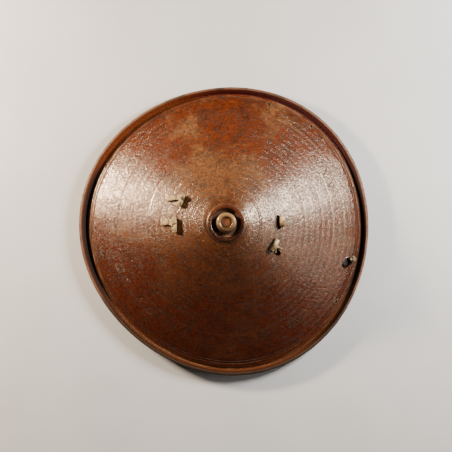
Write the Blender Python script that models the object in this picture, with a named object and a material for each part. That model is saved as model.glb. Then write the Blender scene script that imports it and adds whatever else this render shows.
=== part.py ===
"""Leather shield: one piece of thick hide with a knobbed boss and an upturned rim, lying face up.

The hide is a broad cone. Its outline isn't quite round: three low lobes swell it, and they fade towards
the boss. Four thongs, knotted on the face, pass through slots and hold a bowed hand grip across the back.
The stub of one more thong is left at the rim, beside the slot that it was torn from.

Lengths are in metres. Turns are in degrees, anticlockwise from +X as seen from above. The shield rests on
the flat ring under its gutter, at height zero, with the middle of its outline's box over the origin.
"""

import math
from dataclasses import dataclass

import bmesh
import bpy
from mathutils import Matrix, Vector

# Clearances
GAP = 0.0003                # between pieces that touch
SLOT_GAP = 0.0006           # all round a thong where it passes through a slot
SEAT_GAP = 0.0006           # between the grip's ends and the curved back of the hide

# Hide and outline
RIM_RADIUS = 0.3000         # mean radius at the lip's outer edge
HIDE_THICKNESS = 0.0055
LOBE_THREE = 0.0056         # swell of the three lobes, at the rim
LOBE_THREE_TURN = 48.7
LOBE_TWO = 0.0015           # swell of a second, two-lobed wave, at the rim
LOBE_TWO_TURN = 141.5
FLANK_RISE = 0.1180         # from the cone's edge up to the foot of the boss
FLANK_BULGE = 0.0025        # how far the cone's flank stands proud of a straight line

# Gutter and lip
GUTTER_WIDTH = 0.0040       # from the cone's edge to the foot of the lip
GUTTER_DEPTH = 0.0065       # from the cone's edge down to the gutter's floor
LIP_RISE = 0.0185           # from the gutter's floor up to the lip's inner edge
LIP_FLARE = 21.0            # the lip's lean out of the vertical
LIP_SHIFT = 0.0018          # how far the top of the lip has sagged sideways
LIP_SHIFT_TURN = 245.0
LAND_WIDTH = 0.0060         # flat ring under the gutter that the shield rests on
GUTTER_BREAK = (0.40, 0.62)     # where the gutter's wall steepens: shares of its width and depth
CORNER_EASE = 0.10          # share by which the gutter's and the land's corners are eased

# Boss
DIMPLE_RADIUS = 0.0100      # hollow in the top of the knob
DIMPLE_DEPTH = 0.0035
DIMPLE_SAG = 1.10           # depth of the dimple's middle, against the depth of its foot
KNOB_RADIUS = 0.0203
KNOB_STAND = 0.0090         # from the ridge's top up to the knob's top
KNOB_SHOULDER = 0.0065      # height of the knob's rounded shoulder
GROOVE_WIDTH = 0.0080       # round groove between the knob and the ridge
GROOVE_DEPTH = 0.0105       # below the ridge's top
RIDGE_WIDTH = 0.0107
RIDGE_STAND = 0.0035        # above the top of the flank
HOLLOW_TAPER = 0.92         # width of the hollow behind the knob near its top, against its mouth
HOLLOW_FLAT = 0.60          # width of that hollow's flat top, against its mouth

# Tooled rings
LINE_WIDTH = 0.0020         # a single tooled line
LINE_DEPTH = 0.0008
BOSS_LINE_RADII = (0.0410, 0.0445)
MARGIN_LINE_INSETS = (0.0110, 0.0062)   # two lines by the rim, inward from the cone's edge
TOOTH_DEPTH = 0.0009        # how far the hatched teeth are sunk
TOOTH_BEVEL = 0.0010        # width of the slope at a tooth's edge, across the ring
OUTER_TEETH = 52
OUTER_TEETH_INSET = 0.0398  # from the cone's edge inwards to the outer teeth's base
OUTER_TEETH_HEIGHT = 0.0220
INNER_TEETH = 34
INNER_TEETH_HEIGHT = 0.0160
TEETH_SPACING = 0.0650      # from the outer teeth's points inwards to the inner teeth's base
RAY_COUNT = 22              # short rays round the boss, points outwards
RAY_ROOT_RADIUS = 0.0500
RAY_HEIGHT = 0.0150

# Facets
BOSS_SIDES = 40
RIM_SIDES = 88
BACK_SIDES = 60
BACK_STEPS = 5
HOLE_SIDES = 12

# Holes pierced beside the rim: their turns about the boss
RIM_HOLE_TURNS = (50.1, 71.0, 326.0)
RIM_HOLE_LENGTH = 0.0072    # along the rim
RIM_HOLE_WIDTH = 0.0042
RIM_HOLE_INSET = 0.0092     # from the cone's edge inwards

# Torn slot beside the rim, and the stub of thong left at its outer end
RIM_SLOT_TURN = 343.8
RIM_SLOT_INSET = 0.0210     # from the cone's edge inwards to the slot's middle
RIM_SLOT_LENGTH = 0.0275
RIM_SLOT_WIDTH = 0.0155
RIM_SLOT_LEAN = 40.0        # the slot's long axis
STUB_NECK_WIDTH = 0.0070
STUB_NECK_INSET = 0.0050    # from the slot's outer end to the middle of the stub's neck
STUB_KNOT = (0.0135, 0.0125, 0.0085)    # length, width and height of the stub's knot on the face
STUB_KNOT_SHIFT = (0.0055, -0.0030)     # from the stub's neck outwards and aside to the knot's middle
STUB_BACK_LENGTH = 0.0170   # length of the knot behind the stub
STUB_BACK_HEIGHT = 0.0045

# Hand grip
GRIP_MIDDLE = (0.0027, 0.0055)      # from the boss's axis
GRIP_TURN = -12.3
SLOT_SPAN = 0.2030          # between the two pairs of slots, along the grip
SLOT_SPACING = 0.0506       # between the two slots of a pair
SLOT_ROW_TURN = 73.0        # the direction from a pair's lower slot to its upper one
GRIP_END_OVERHANG = 0.0180  # grip past the slots, at each end
GRIP_SEAT = 0.0220          # inward from the slots, where the grip leaves the hide
GRIP_SIDE_MARGIN = 0.0137   # grip past the slots, at each side
GRIP_END_THICKNESS = 0.0050
GRIP_BAR_WIDTH = 0.0300
GRIP_BAR_THICKNESS = 0.0140
GRIP_CLEARANCE = 0.0360     # room for fingers between the grip's bar and the back of the boss
GRIP_FLARE_SPAN = (0.66, 1.08)  # where the bar widens into the flat ends: shares of the way to the seat
GRIP_CORNER = 0.22          # share by which the grip's ends narrow towards their corners
GRIP_SQUARENESS = (0.70, 0.60)  # powers that square the grip's section off, across and through
GRIP_STATIONS = 16
GRIP_SIDES = 12

# Thongs
STRAP_THICKNESS = 0.0032
NECK_WIDTH = 0.0100         # the thong's width where it passes through the slots
BACK_KNOT = (0.0240, 0.0120, 0.0085)    # length, width and height of each knot behind the grip
ROLL_PINCH = 0.42           # how much a rolled knot narrows at its ends
ROLL_WAIST = 0.10           # how much it narrows in its middle
TAIL_WAIST = 0.28           # how much a tail narrows where it leaves the knot
TAIL_WAIST_END = 0.71       # share of the tail's length by which it is at full width again
TAIL_TAPER = 0.85           # width of a tail's upper face, against its lower one
TAIL_STEPS = 5
ROLL_SIDES = 10
ROLL_STATIONS = 7


@dataclass(frozen=True)
class Thong:
    """One thong that holds the grip: where it is and how its knot lies on the face."""
    name: str
    side: int               # -1 at the grip's left end, 1 at its right end
    row: int                # -1 for a pair's lower slot, 1 for the upper one
    knot_length: float
    knot_width: float
    knot_height: float
    knot_turn: float
    knot_shift: tuple[float, float]     # from the slot to the knot's middle, along the knot and across it
    tail_length: float      # from the slot to the end of the tail
    tail_width: float
    tail_turn: float
    tail_lift: float        # height of the tail's end above the hide


@dataclass(frozen=True)
class Tear:
    """A place beside a thong where the hide has torn open."""
    name: str
    thong: str
    length: float
    width: float
    turn: float                     # its long axis
    shift: tuple[float, float]      # from the thong's slot to its middle, towards +X and +Y


THONGS = (
    Thong("thong_upper_left", -1, 1, 0.0270, 0.0145, 0.0120, 71.0, (-0.0050, -0.0035),
          0.0300, 0.0125, 174.0, 0.0020),
    Thong("thong_lower_left", -1, -1, 0.0305, 0.0155, 0.0125, 93.0, (-0.0045, -0.0030),
          0.0285, 0.0155, 172.0, 0.0020),
    Thong("thong_upper_right", 1, 1, 0.0225, 0.0090, 0.0130, 92.0, (-0.0020, 0.0),
          0.0090, 0.0070, 28.0, 0.0060),
    Thong("thong_lower_right", 1, -1, 0.0250, 0.0160, 0.0170, 62.0, (-0.0015, 0.0),
          0.0240, 0.0060, 333.0, 0.0050),
)
TEARS = (
    Tear("upper_tear", "thong_upper_right", 0.0270, 0.0170, 88.0, (-0.0060, -0.0045)),
    Tear("lower_tear", "thong_lower_right", 0.0140, 0.0095, 325.0, (0.0098, -0.0165)),
)

# Sizes that follow from the ones above
FLARE = math.radians(LIP_FLARE)
LIP_INNER_RADIUS = RIM_RADIUS - HIDE_THICKNESS * math.cos(FLARE)
LIP_FOOT_RADIUS = LIP_INNER_RADIUS - LIP_RISE * math.tan(FLARE)
EDGE_RADIUS = LIP_FOOT_RADIUS - GUTTER_WIDTH
FLOOR_HEIGHT = HIDE_THICKNESS
EDGE_HEIGHT = FLOOR_HEIGHT + GUTTER_DEPTH
LIP_HEIGHT = FLOOR_HEIGHT + LIP_RISE
FOOT_RADIUS = KNOB_RADIUS + GROOVE_WIDTH + RIDGE_WIDTH
FOOT_HEIGHT = EDGE_HEIGHT + FLANK_RISE
RIDGE_TOP = FOOT_HEIGHT + RIDGE_STAND
GROOVE_FLOOR = RIDGE_TOP - GROOVE_DEPTH
KNOB_TOP = RIDGE_TOP + KNOB_STAND
FLANK_SLOPE = math.atan2(FLANK_RISE, EDGE_RADIUS - FOOT_RADIUS)
HIDE_DROP = HIDE_THICKNESS / math.cos(FLANK_SLOPE)
OUTER_TEETH_BASE = EDGE_RADIUS - OUTER_TEETH_INSET
INNER_TEETH_BASE = OUTER_TEETH_BASE - OUTER_TEETH_HEIGHT - TEETH_SPACING
GRIP_END_WIDTH = SLOT_SPACING + 2 * GRIP_SIDE_MARGIN
LAND_OUTER_RADIUS = RIM_RADIUS - (LIP_HEIGHT - HIDE_THICKNESS * math.sin(FLARE)) * math.tan(FLARE)
BACK_FLOOR = GROOVE_FLOOR - HIDE_THICKNESS


def clear_scene():
    """Removes whatever objects the scene holds."""
    for item in list(bpy.data.objects):
        bpy.data.objects.remove(item, do_unlink=True)


def material(name, color, roughness):
    """A plain material for one piece."""
    made = bpy.data.materials.new(name)
    made.use_nodes = True
    shader = made.node_tree.nodes["Principled BSDF"]
    shader.inputs["Base Color"].default_value = (*color, 1.0)
    shader.inputs["Roughness"].default_value = roughness
    shader.inputs["Metallic"].default_value = 0.0
    made.diffuse_color = (*color, 1.0)
    return made


def flank(radius):
    """Height of the cone's face at a radius between the boss's foot and the cone's edge."""
    share = (EDGE_RADIUS - radius) / (EDGE_RADIUS - FOOT_RADIUS)
    return EDGE_HEIGHT + FLANK_RISE * share + 4 * FLANK_BULGE * share * (1 - share)


def swell(turn):
    """How far the lobes push the rim out at a turn in radians."""
    three = LOBE_THREE * math.cos(3 * (turn - math.radians(LOBE_THREE_TURN)))
    two = LOBE_TWO * math.cos(2 * (turn - math.radians(LOBE_TWO_TURN)))
    return three + two


def lobed(turn, radius):
    """The real radius of a ring at a turn: the lobes fade with the cube of the radius."""
    return radius + swell(turn) * (radius / RIM_RADIUS) ** 3


def unlobed(turn, radius):
    """The ring that passes through a real radius at a turn, to well under a tenth of a millimetre."""
    return radius - swell(turn) * (radius / RIM_RADIUS) ** 3


def lip_shift(radius, height):
    """Sideways sag of the lip, none at its foot and whole at its top."""
    if radius < LIP_FOOT_RADIUS or height <= 0:
        return Vector((0, 0))
    share = min(1.0, height / LIP_HEIGHT)
    turn = math.radians(LIP_SHIFT_TURN)
    return LIP_SHIFT * share * Vector((math.cos(turn), math.sin(turn)))


def on_ring(turn, radius, height):
    """A point of the hide about the boss's axis, for a turn in radians and the ring's own radius."""
    real = lobed(turn, radius)
    shift = lip_shift(radius, height)
    return Vector((real * math.cos(turn) + shift.x, real * math.sin(turn) + shift.y, height))


def boss_axis():
    """Where the boss's axis stands, so that the middle of the outline's box is over the origin."""
    lip = [on_ring(math.tau * k / RIM_SIDES, RIM_RADIUS, outer_lip_height()) for k in range(RIM_SIDES)]
    middle_x = (min(p.x for p in lip) + max(p.x for p in lip)) / 2
    middle_y = (min(p.y for p in lip) + max(p.y for p in lip)) / 2
    return Vector((-middle_x, -middle_y, 0))


def outer_lip_height():
    """Height of the lip's outer edge: the cut edge stands square to the lip."""
    return LIP_HEIGHT - HIDE_THICKNESS * math.sin(FLARE)


def ring(count, radius, height):
    """A level ring of points, each a turn in radians, a radius and a height."""
    return [(math.tau * k / count, radius, height) for k in range(count)]


def flank_ring(count, radius, sunk=0.0, reach=0.0):
    """A ring on the cone's face, sunk below it; every second point stands further out by the reach."""
    points = []
    for k in range(count):
        here = radius + (reach if k % 2 else 0.0)
        points.append((math.tau * k / count, here, flank(here) - sunk))
    return points


def arc(middle, half_width, half_height, start, end, steps):
    """Points of an ellipse in the profile, as radius and height, from one angle to another."""
    points = []
    for k in range(steps + 1):
        angle = math.radians(start + (end - start) * k / steps)
        points.append((middle[0] + half_width * math.cos(angle), middle[1] + half_height * math.sin(angle)))
    return points


def boss_profile():
    """The face of the boss, from the dimple out to the foot of the ridge."""
    crown = (DIMPLE_RADIUS + KNOB_RADIUS) / 2
    half = (KNOB_RADIUS - DIMPLE_RADIUS) / 2
    inner = arc((crown, KNOB_TOP - DIMPLE_DEPTH), half, DIMPLE_DEPTH, 180, 90, 2)
    outer = arc((crown, KNOB_TOP - KNOB_SHOULDER), half, KNOB_SHOULDER, 90, 0, 3)[1:]
    trough = KNOB_RADIUS + GROOVE_WIDTH / 2
    round_height = GROOVE_DEPTH / 3
    groove = arc((trough, GROOVE_FLOOR + round_height), GROOVE_WIDTH / 2, round_height, 180, 360, 4)
    crest = (FOOT_RADIUS - RIDGE_WIDTH / 2, FOOT_HEIGHT)
    ridge = arc(crest, RIDGE_WIDTH / 2, RIDGE_STAND, 180, 0, 4)
    return inner + outer + groove + ridge


def tooled_line(count, radius):
    """Three rings that make one V-shaped line in the cone's face."""
    half = LINE_WIDTH / 2
    return [flank_ring(count, radius - half), flank_ring(count, radius, LINE_DEPTH),
            flank_ring(count, radius + half)]


def sunk_teeth(teeth, base, height):
    """Four rings that sink a circle of triangles, points towards the boss, into the cone's face."""
    tip = base - height
    count = 2 * teeth
    return [flank_ring(count, tip - TOOTH_BEVEL, 0.0, height - TOOTH_BEVEL),
            flank_ring(count, tip, TOOTH_DEPTH, height - TOOTH_BEVEL),
            flank_ring(count, base, TOOTH_DEPTH),
            flank_ring(count, base + TOOTH_BEVEL)]


def raised_rays(count, root, height):
    """Three rings that lift a star of short rays, points outwards, a little out of the cone's face."""
    sides = 2 * count
    return [flank_ring(sides, root - TOOTH_BEVEL),
            flank_ring(sides, root, -TOOTH_DEPTH, height - TOOTH_BEVEL),
            flank_ring(sides, root + TOOTH_BEVEL, 0.0, height)]


def rim_profile():
    """Gutter, lip, cut edge and underside of the rim, from the cone's edge round to the back."""
    across, down = GUTTER_BREAK
    return [
        (EDGE_RADIUS, EDGE_HEIGHT),
        (EDGE_RADIUS + across * GUTTER_WIDTH, FLOOR_HEIGHT + down * GUTTER_DEPTH),
        (LIP_FOOT_RADIUS - 3 * CORNER_EASE * GUTTER_WIDTH, FLOOR_HEIGHT),
        (LIP_FOOT_RADIUS + CORNER_EASE * GUTTER_WIDTH, FLOOR_HEIGHT + CORNER_EASE * LIP_RISE),
        (LIP_INNER_RADIUS, LIP_HEIGHT),
        (RIM_RADIUS, outer_lip_height()),
        (LAND_OUTER_RADIUS + CORNER_EASE * LAND_WIDTH, CORNER_EASE * HIDE_THICKNESS),
        (LAND_OUTER_RADIUS - CORNER_EASE * LAND_WIDTH, 0.0),
        (LAND_OUTER_RADIUS - LAND_WIDTH, 0.0),
    ]


def back_rings():
    """The plain back of the cone and the hollow behind the boss, from the rim inwards."""
    first = EDGE_RADIUS - HIDE_THICKNESS / 2
    last = FOOT_RADIUS + HIDE_THICKNESS
    rings = []
    for k in range(BACK_STEPS + 1):
        radius = first + (last - first) * k / BACK_STEPS
        rings.append(ring(BACK_SIDES, radius, flank(radius) - HIDE_DROP))
    hollow = KNOB_RADIUS - HIDE_THICKNESS
    hollow_top = KNOB_TOP - DIMPLE_DEPTH - HIDE_THICKNESS
    rings.append(ring(BOSS_SIDES, hollow + HIDE_THICKNESS / 2, BACK_FLOOR))
    rings.append(ring(BOSS_SIDES, hollow, BACK_FLOOR + HIDE_THICKNESS / 2))
    rings.append(ring(BOSS_SIDES, hollow * HOLLOW_TAPER, hollow_top - HIDE_THICKNESS / 2))
    rings.append(ring(BOSS_SIDES, hollow * HOLLOW_FLAT, hollow_top))
    return rings


def stitch(mesh, near, far):
    """Joins two rings, which may differ in count, by triangles that face up where the far one is outside."""
    i = j = 0
    while i < len(near) or j < len(far):
        far_next = (j + 1) * len(near) <= (i + 1) * len(far)
        if j < len(far) and (i >= len(near) or far_next):
            mesh.faces.new((near[i % len(near)], far[j % len(far)], far[(j + 1) % len(far)]))
            j += 1
        else:
            mesh.faces.new((near[i % len(near)], far[j % len(far)], near[(i + 1) % len(near)]))
            i += 1


def hide_rings():
    """All rings of the hide, from the middle of the face over the lip to the middle of the back."""
    rings = [ring(BOSS_SIDES, radius, height) for radius, height in boss_profile()]
    for radius in BOSS_LINE_RADII:
        rings += tooled_line(BOSS_SIDES, radius)
    rings += raised_rays(RAY_COUNT, RAY_ROOT_RADIUS, RAY_HEIGHT)
    rings += sunk_teeth(INNER_TEETH, INNER_TEETH_BASE, INNER_TEETH_HEIGHT)
    rings += sunk_teeth(OUTER_TEETH, OUTER_TEETH_BASE, OUTER_TEETH_HEIGHT)
    for inset in MARGIN_LINE_INSETS:
        rings += tooled_line(RIM_SIDES, EDGE_RADIUS - inset)
    rings += [ring(RIM_SIDES, radius, height) for radius, height in rim_profile()]
    return rings + back_rings()


def hide_mesh(mesh):
    """Builds the whole closed hide about the boss's axis."""
    rows = [[mesh.verts.new(on_ring(*point)) for point in points] for points in hide_rings()]
    top = mesh.verts.new((0, 0, KNOB_TOP - DIMPLE_DEPTH * DIMPLE_SAG))
    bottom = mesh.verts.new((0, 0, KNOB_TOP - DIMPLE_DEPTH - HIDE_THICKNESS))
    for k in range(len(rows[0])):
        mesh.faces.new((top, rows[0][k], rows[0][(k + 1) % len(rows[0])]))
    for near, far in zip(rows, rows[1:]):
        stitch(mesh, near, far)
    last = rows[-1]
    for k in range(len(last)):
        mesh.faces.new((last[k], bottom, last[(k + 1) % len(last)]))


def loft(mesh, sections):
    """Joins equal closed sections into one body with flat ends, facing out when the sections turn left."""
    rows = [[mesh.verts.new(point) for point in section] for section in sections]
    count = len(rows[0])
    for near, far in zip(rows, rows[1:]):
        for k in range(count):
            mesh.faces.new((near[k], near[(k + 1) % count], far[(k + 1) % count], far[k]))
    mesh.faces.new(list(reversed(rows[0])))
    mesh.faces.new(rows[-1])


def make_object(name, build, matrix, finish=None):
    """Makes an object from a function that fills a mesh, and moves the mesh by a matrix."""
    mesh = bmesh.new()
    build(mesh)
    bmesh.ops.transform(mesh, matrix=matrix, verts=mesh.verts)
    bmesh.ops.triangulate(mesh, faces=mesh.faces)
    data = bpy.data.meshes.new(name)
    mesh.to_mesh(data)
    mesh.free()
    data.shade_smooth()
    data.set_sharp_from_angle(angle=math.radians(40))
    made = bpy.data.objects.new(name, data)
    bpy.context.scene.collection.objects.link(made)
    if finish is not None:
        data.materials.append(finish)
    return made


def helper(name, build, matrix):
    """Makes a guide or a cutter, which isn't a piece of the shield."""
    made = make_object(name, build, matrix)
    made.hide_render = True
    made.display_type = "WIRE"
    return made


def combine(target, tool, operation):
    """Adds one Boolean modifier to a piece."""
    modifier = target.modifiers.new(tool.name, "BOOLEAN")
    modifier.operation = operation
    modifier.solver = "EXACT"
    modifier.object = tool


def face_frame(point):
    """A frame on the cone's face: X away from the boss, Z out of the hide."""
    turn = math.atan2(point[1], point[0])
    radius = unlobed(turn, math.hypot(*point))
    step = LINE_WIDTH
    slope = math.atan2(flank(radius - step) - flank(radius + step), 2 * step)
    turned = Matrix.Rotation(turn, 4, "Z") @ Matrix.Rotation(slope, 4, "Y")
    return Matrix.Translation((point[0], point[1], flank(radius))) @ turned


def level_turn(point, turn):
    """The turn, within a face frame, of a direction that is given in degrees from +X."""
    return Matrix.Rotation(math.radians(turn) - math.atan2(point[1], point[0]), 4, "Z")


def slot_point(thong):
    """Where a thong's slot goes through the face, about the boss's axis."""
    along = math.radians(GRIP_TURN)
    across = math.radians(SLOT_ROW_TURN)
    x = GRIP_MIDDLE[0] + thong.side * SLOT_SPAN / 2 * math.cos(along)
    y = GRIP_MIDDLE[1] + thong.side * SLOT_SPAN / 2 * math.sin(along)
    x += thong.row * SLOT_SPACING / 2 * math.cos(across)
    y += thong.row * SLOT_SPACING / 2 * math.sin(across)
    return x, y


def block(length, width, low, high):
    """Returns a function that fills a mesh with a box standing on the frame's origin."""
    def build(mesh):
        corners = [(-length / 2, -width / 2), (length / 2, -width / 2),
                   (length / 2, width / 2), (-length / 2, width / 2)]
        loft(mesh, [[(x, y, z) for x, y in corners] for z in (low, high)])
    return build


def oval(length, width, low, high):
    """Returns a function that fills a mesh with an upright oval post, its length along X."""
    def build(mesh):
        turns = [math.tau * k / HOLE_SIDES for k in range(HOLE_SIDES)]
        outline = [(length / 2 * math.cos(t), width / 2 * math.sin(t)) for t in turns]
        loft(mesh, [[(x, y, z) for x, y in outline] for z in (low, high)])
    return build


def roll(length, width, height, base):
    """Returns a function that fills a mesh with a rolled knot along X, its underside at the base."""
    def build(mesh):
        sections = []
        for k in range(ROLL_STATIONS):
            share = -1 + 2 * k / (ROLL_STATIONS - 1)
            girth = 1 - ROLL_PINCH * share ** 4 - ROLL_WAIST * (1 - share ** 2) ** 2
            section = []
            for n in range(ROLL_SIDES):
                angle = math.tau * (n + 0.5) / ROLL_SIDES
                section.append((share * length / 2, girth * width / 2 * math.cos(angle),
                                base + height / 2 + girth * height / 2 * math.sin(angle)))
            sections.append(section)
        loft(mesh, sections)
    return build


def tail(length, width, start, end):
    """Returns a function that fills a mesh with a strap's tail along X, pinched where it leaves the knot."""
    def build(mesh):
        sections = []
        for k in range(TAIL_STEPS + 1):
            share = k / TAIL_STEPS
            waist = TAIL_WAIST * math.sin(math.pi * min(1.0, share / TAIL_WAIST_END))
            half = width / 2 * (1 - waist)
            top = half * TAIL_TAPER
            low = start + (end - start) * share
            high = low + STRAP_THICKNESS
            x = length * share
            sections.append([(x, -half, low), (x, half, low), (x, top, high), (x, -top, high)])
        loft(mesh, sections)
    return build


def back_height(x, y):
    """Height of the hide's back over a point about the boss's axis."""
    turn = math.atan2(y, x)
    return flank(unlobed(turn, math.hypot(x, y))) - HIDE_DROP


def smooth(share):
    """An even rise from 0 to 1 with level ends."""
    share = max(0.0, min(1.0, share))
    return share * share * (3 - 2 * share)


def grip_build(mesh):
    """Fills a mesh with the hand grip, about the boss's axis: flat ends on the hide, a bowed bar between."""
    end = SLOT_SPAN / 2 + GRIP_END_OVERHANG
    seat = SLOT_SPAN / 2 - GRIP_SEAT
    bar_top = BACK_FLOOR - GRIP_CLEARANCE
    along = Vector((math.cos(math.radians(GRIP_TURN)), math.sin(math.radians(GRIP_TURN))))
    across = Vector((-along.y, along.x))
    middle = Vector(GRIP_MIDDLE)
    flare_start, flare_end = GRIP_FLARE_SPAN
    wide_power, deep_power = GRIP_SQUARENESS
    sections = []
    for k in range(GRIP_STATIONS + 1):
        place = -end + 2 * end * k / GRIP_STATIONS
        flat = smooth((abs(place) / seat - flare_start) / (flare_end - flare_start))
        round_off = 1 - GRIP_CORNER * smooth((abs(place) - seat - GRIP_SEAT) / GRIP_END_OVERHANG)
        half = (GRIP_BAR_WIDTH + (GRIP_END_WIDTH - GRIP_BAR_WIDTH) * flat) / 2 * round_off
        thickness = GRIP_BAR_THICKNESS + (GRIP_END_THICKNESS - GRIP_BAR_THICKNESS) * flat
        seat_point = middle + along * math.copysign(seat, place)
        seat_top = back_height(seat_point.x, seat_point.y) - SEAT_GAP
        bow = smooth(1 - abs(place) / seat) if abs(place) < seat else 0.0
        section = []
        for n in range(GRIP_SIDES):
            angle = math.tau * (n + 0.5) / GRIP_SIDES
            sideways = math.copysign(abs(math.cos(angle)) ** wide_power, math.cos(angle))
            depth = (1 - math.copysign(abs(math.sin(angle)) ** deep_power, math.sin(angle))) / 2
            point = middle + along * place + across * sideways * half
            here = back_height(point.x, point.y) - SEAT_GAP
            if abs(place) < seat:
                here = min(here, seat_top + (bar_top - seat_top) * bow)
            section.append((point.x, point.y, here - depth * thickness))
        sections.append(section)
    loft(mesh, sections)


def build_shield():
    """Builds every piece of the shield."""
    axis = Matrix.Translation(boss_axis())
    hide_finish = material("tooled_hide", (0.20, 0.065, 0.025), 0.42)
    thong_finish = material("rawhide", (0.52, 0.42, 0.27), 0.65)
    stub_finish = material("frayed_rawhide", (0.36, 0.30, 0.20), 0.75)
    grip_finish = material("grip_hide", (0.13, 0.055, 0.028), 0.55)

    hide = make_object("hide", hide_mesh, axis, hide_finish)
    grip = make_object("hand_grip", grip_build, axis, grip_finish)
    through = GRIP_END_THICKNESS + HIDE_THICKNESS + SEAT_GAP

    for thong in THONGS:
        point = slot_point(thong)
        frame = axis @ face_frame(point)
        across = frame @ Matrix.Rotation(math.pi / 2, 4, "Z")
        slot = helper(f"slot_{thong.name}", block(NECK_WIDTH + 2 * SLOT_GAP, STRAP_THICKNESS + 2 * SLOT_GAP,
                                                  -3 * through, 2 * through), across)
        combine(hide, slot, "DIFFERENCE")
        combine(grip, slot, "DIFFERENCE")

        knot_base = GAP + TOOTH_DEPTH
        back_base = -(through + 2 * GAP + BACK_KNOT[2])
        top = knot_base + thong.knot_height / 2
        neck = block(NECK_WIDTH, STRAP_THICKNESS, back_base + BACK_KNOT[2] / 2, top)
        piece = make_object(thong.name, neck, across, thong_finish)
        knot = roll(thong.knot_length, thong.knot_width, thong.knot_height, knot_base)
        knot_frame = frame @ level_turn(point, thong.knot_turn) @ Matrix.Translation((*thong.knot_shift, 0))
        parts = (
            helper(f"knot_{thong.name}", knot, knot_frame),
            helper(f"tail_{thong.name}", tail(thong.tail_length, thong.tail_width, top - STRAP_THICKNESS,
                                              knot_base + thong.tail_lift),
                   frame @ level_turn(point, thong.tail_turn)),
            helper(f"back_{thong.name}", roll(*BACK_KNOT, back_base), frame),
        )
        for part in parts:
            combine(piece, part, "UNION")

        for tear in (tear for tear in TEARS if tear.thong == thong.name):
            place = frame @ level_turn(point, 0) @ Matrix.Translation((*tear.shift, 0))
            place = place @ Matrix.Rotation(math.radians(tear.turn), 4, "Z")
            opening = oval(tear.length, tear.width, -3 * HIDE_THICKNESS, HIDE_THICKNESS)
            combine(hide, helper(tear.name, opening, place), "DIFFERENCE")

    cut_rim(hide, axis)
    make_rim_thong(axis, stub_finish)


def rim_point(turn, inset):
    """A point on the face, beside the rim, at a turn in degrees, about the boss's axis."""
    angle = math.radians(turn)
    radius = lobed(angle, EDGE_RADIUS - inset)
    return radius * math.cos(angle), radius * math.sin(angle)


def cut_rim(hide, axis):
    """Pierces the small holes and the torn slot beside the rim."""
    for number, turn in enumerate(RIM_HOLE_TURNS):
        frame = axis @ face_frame(rim_point(turn, RIM_HOLE_INSET)) @ Matrix.Rotation(math.pi / 2, 4, "Z")
        hole = helper(f"rim_hole_{number}", oval(RIM_HOLE_LENGTH, RIM_HOLE_WIDTH, -3 * HIDE_THICKNESS,
                                                 HIDE_THICKNESS), frame)
        combine(hide, hole, "DIFFERENCE")
    point = rim_point(RIM_SLOT_TURN, RIM_SLOT_INSET)
    frame = axis @ face_frame(point) @ level_turn(point, RIM_SLOT_LEAN)
    slot = helper("rim_slot", oval(RIM_SLOT_LENGTH, RIM_SLOT_WIDTH, -3 * HIDE_THICKNESS, HIDE_THICKNESS),
                  frame)
    combine(hide, slot, "DIFFERENCE")


def make_rim_thong(axis, finish):
    """Makes the stub of thong that is left at the outer end of the torn slot."""
    point = rim_point(RIM_SLOT_TURN, RIM_SLOT_INSET)
    frame = axis @ face_frame(point) @ level_turn(point, RIM_SLOT_LEAN)
    frame = frame @ Matrix.Translation((RIM_SLOT_LENGTH / 2 - STUB_NECK_INSET, 0, 0))
    knot_base = GAP + TOOTH_DEPTH
    under_base = -(HIDE_THICKNESS + GAP + STUB_BACK_HEIGHT)
    neck = block(STRAP_THICKNESS, STUB_NECK_WIDTH, under_base + STUB_BACK_HEIGHT / 2,
                 knot_base + 2 * STRAP_THICKNESS)
    piece = make_object("rim_thong", neck, frame, finish)
    quarter = Matrix.Rotation(math.pi / 2, 4, "Z")
    parts = (
        helper("knot_rim_thong", roll(*STUB_KNOT, knot_base),
               frame @ Matrix.Translation((*STUB_KNOT_SHIFT, 0)) @ quarter),
        helper("back_rim_thong", roll(STUB_BACK_LENGTH, 2 * STRAP_THICKNESS, STUB_BACK_HEIGHT, under_base),
               frame @ quarter),
    )
    for part in parts:
        combine(piece, part, "UNION")


clear_scene()
build_shield()
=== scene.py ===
"""Looks of the leather shield: its tooled hide, rawhide knots, frayed stub and hand grip, as it lies face up.

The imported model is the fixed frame. Each piece here stands for one of its nodes, at the same sizes. The hide
is drawn round about the boss's axis, tooled and pierced there, and then laid out to its real, lobed outline.
Lengths are in metres. Turns are anticlockwise from +X as seen from above, in degrees in the fields unless
they are written with radians(), and in radians in the functions unless they say otherwise.
"""

import logging
import math
import random
from collections.abc import Callable, Sequence
from dataclasses import dataclass, field
from enum import Enum
from functools import partialmethod
from itertools import product
from math import atan2, copysign, cos, degrees, hypot, pi, radians, sin, tan, tau

import bmesh
import bpy
from mathutils import Matrix, Vector, noise
from mathutils.geometry import delaunay_2d_cdt


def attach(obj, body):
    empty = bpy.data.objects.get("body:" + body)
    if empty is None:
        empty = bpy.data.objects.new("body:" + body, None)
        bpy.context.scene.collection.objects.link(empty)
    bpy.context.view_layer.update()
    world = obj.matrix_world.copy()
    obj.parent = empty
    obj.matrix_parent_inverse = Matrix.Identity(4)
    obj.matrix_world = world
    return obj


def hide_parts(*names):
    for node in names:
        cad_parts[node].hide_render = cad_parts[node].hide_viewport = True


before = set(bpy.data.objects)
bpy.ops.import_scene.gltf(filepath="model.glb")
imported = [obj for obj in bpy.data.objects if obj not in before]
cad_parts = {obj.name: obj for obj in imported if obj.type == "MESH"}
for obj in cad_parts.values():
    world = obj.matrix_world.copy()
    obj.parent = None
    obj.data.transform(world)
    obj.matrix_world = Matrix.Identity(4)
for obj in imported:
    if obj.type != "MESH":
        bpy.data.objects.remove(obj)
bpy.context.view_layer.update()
LOG = logging.getLogger("shield")
Piece = bpy.types.Object
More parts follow.
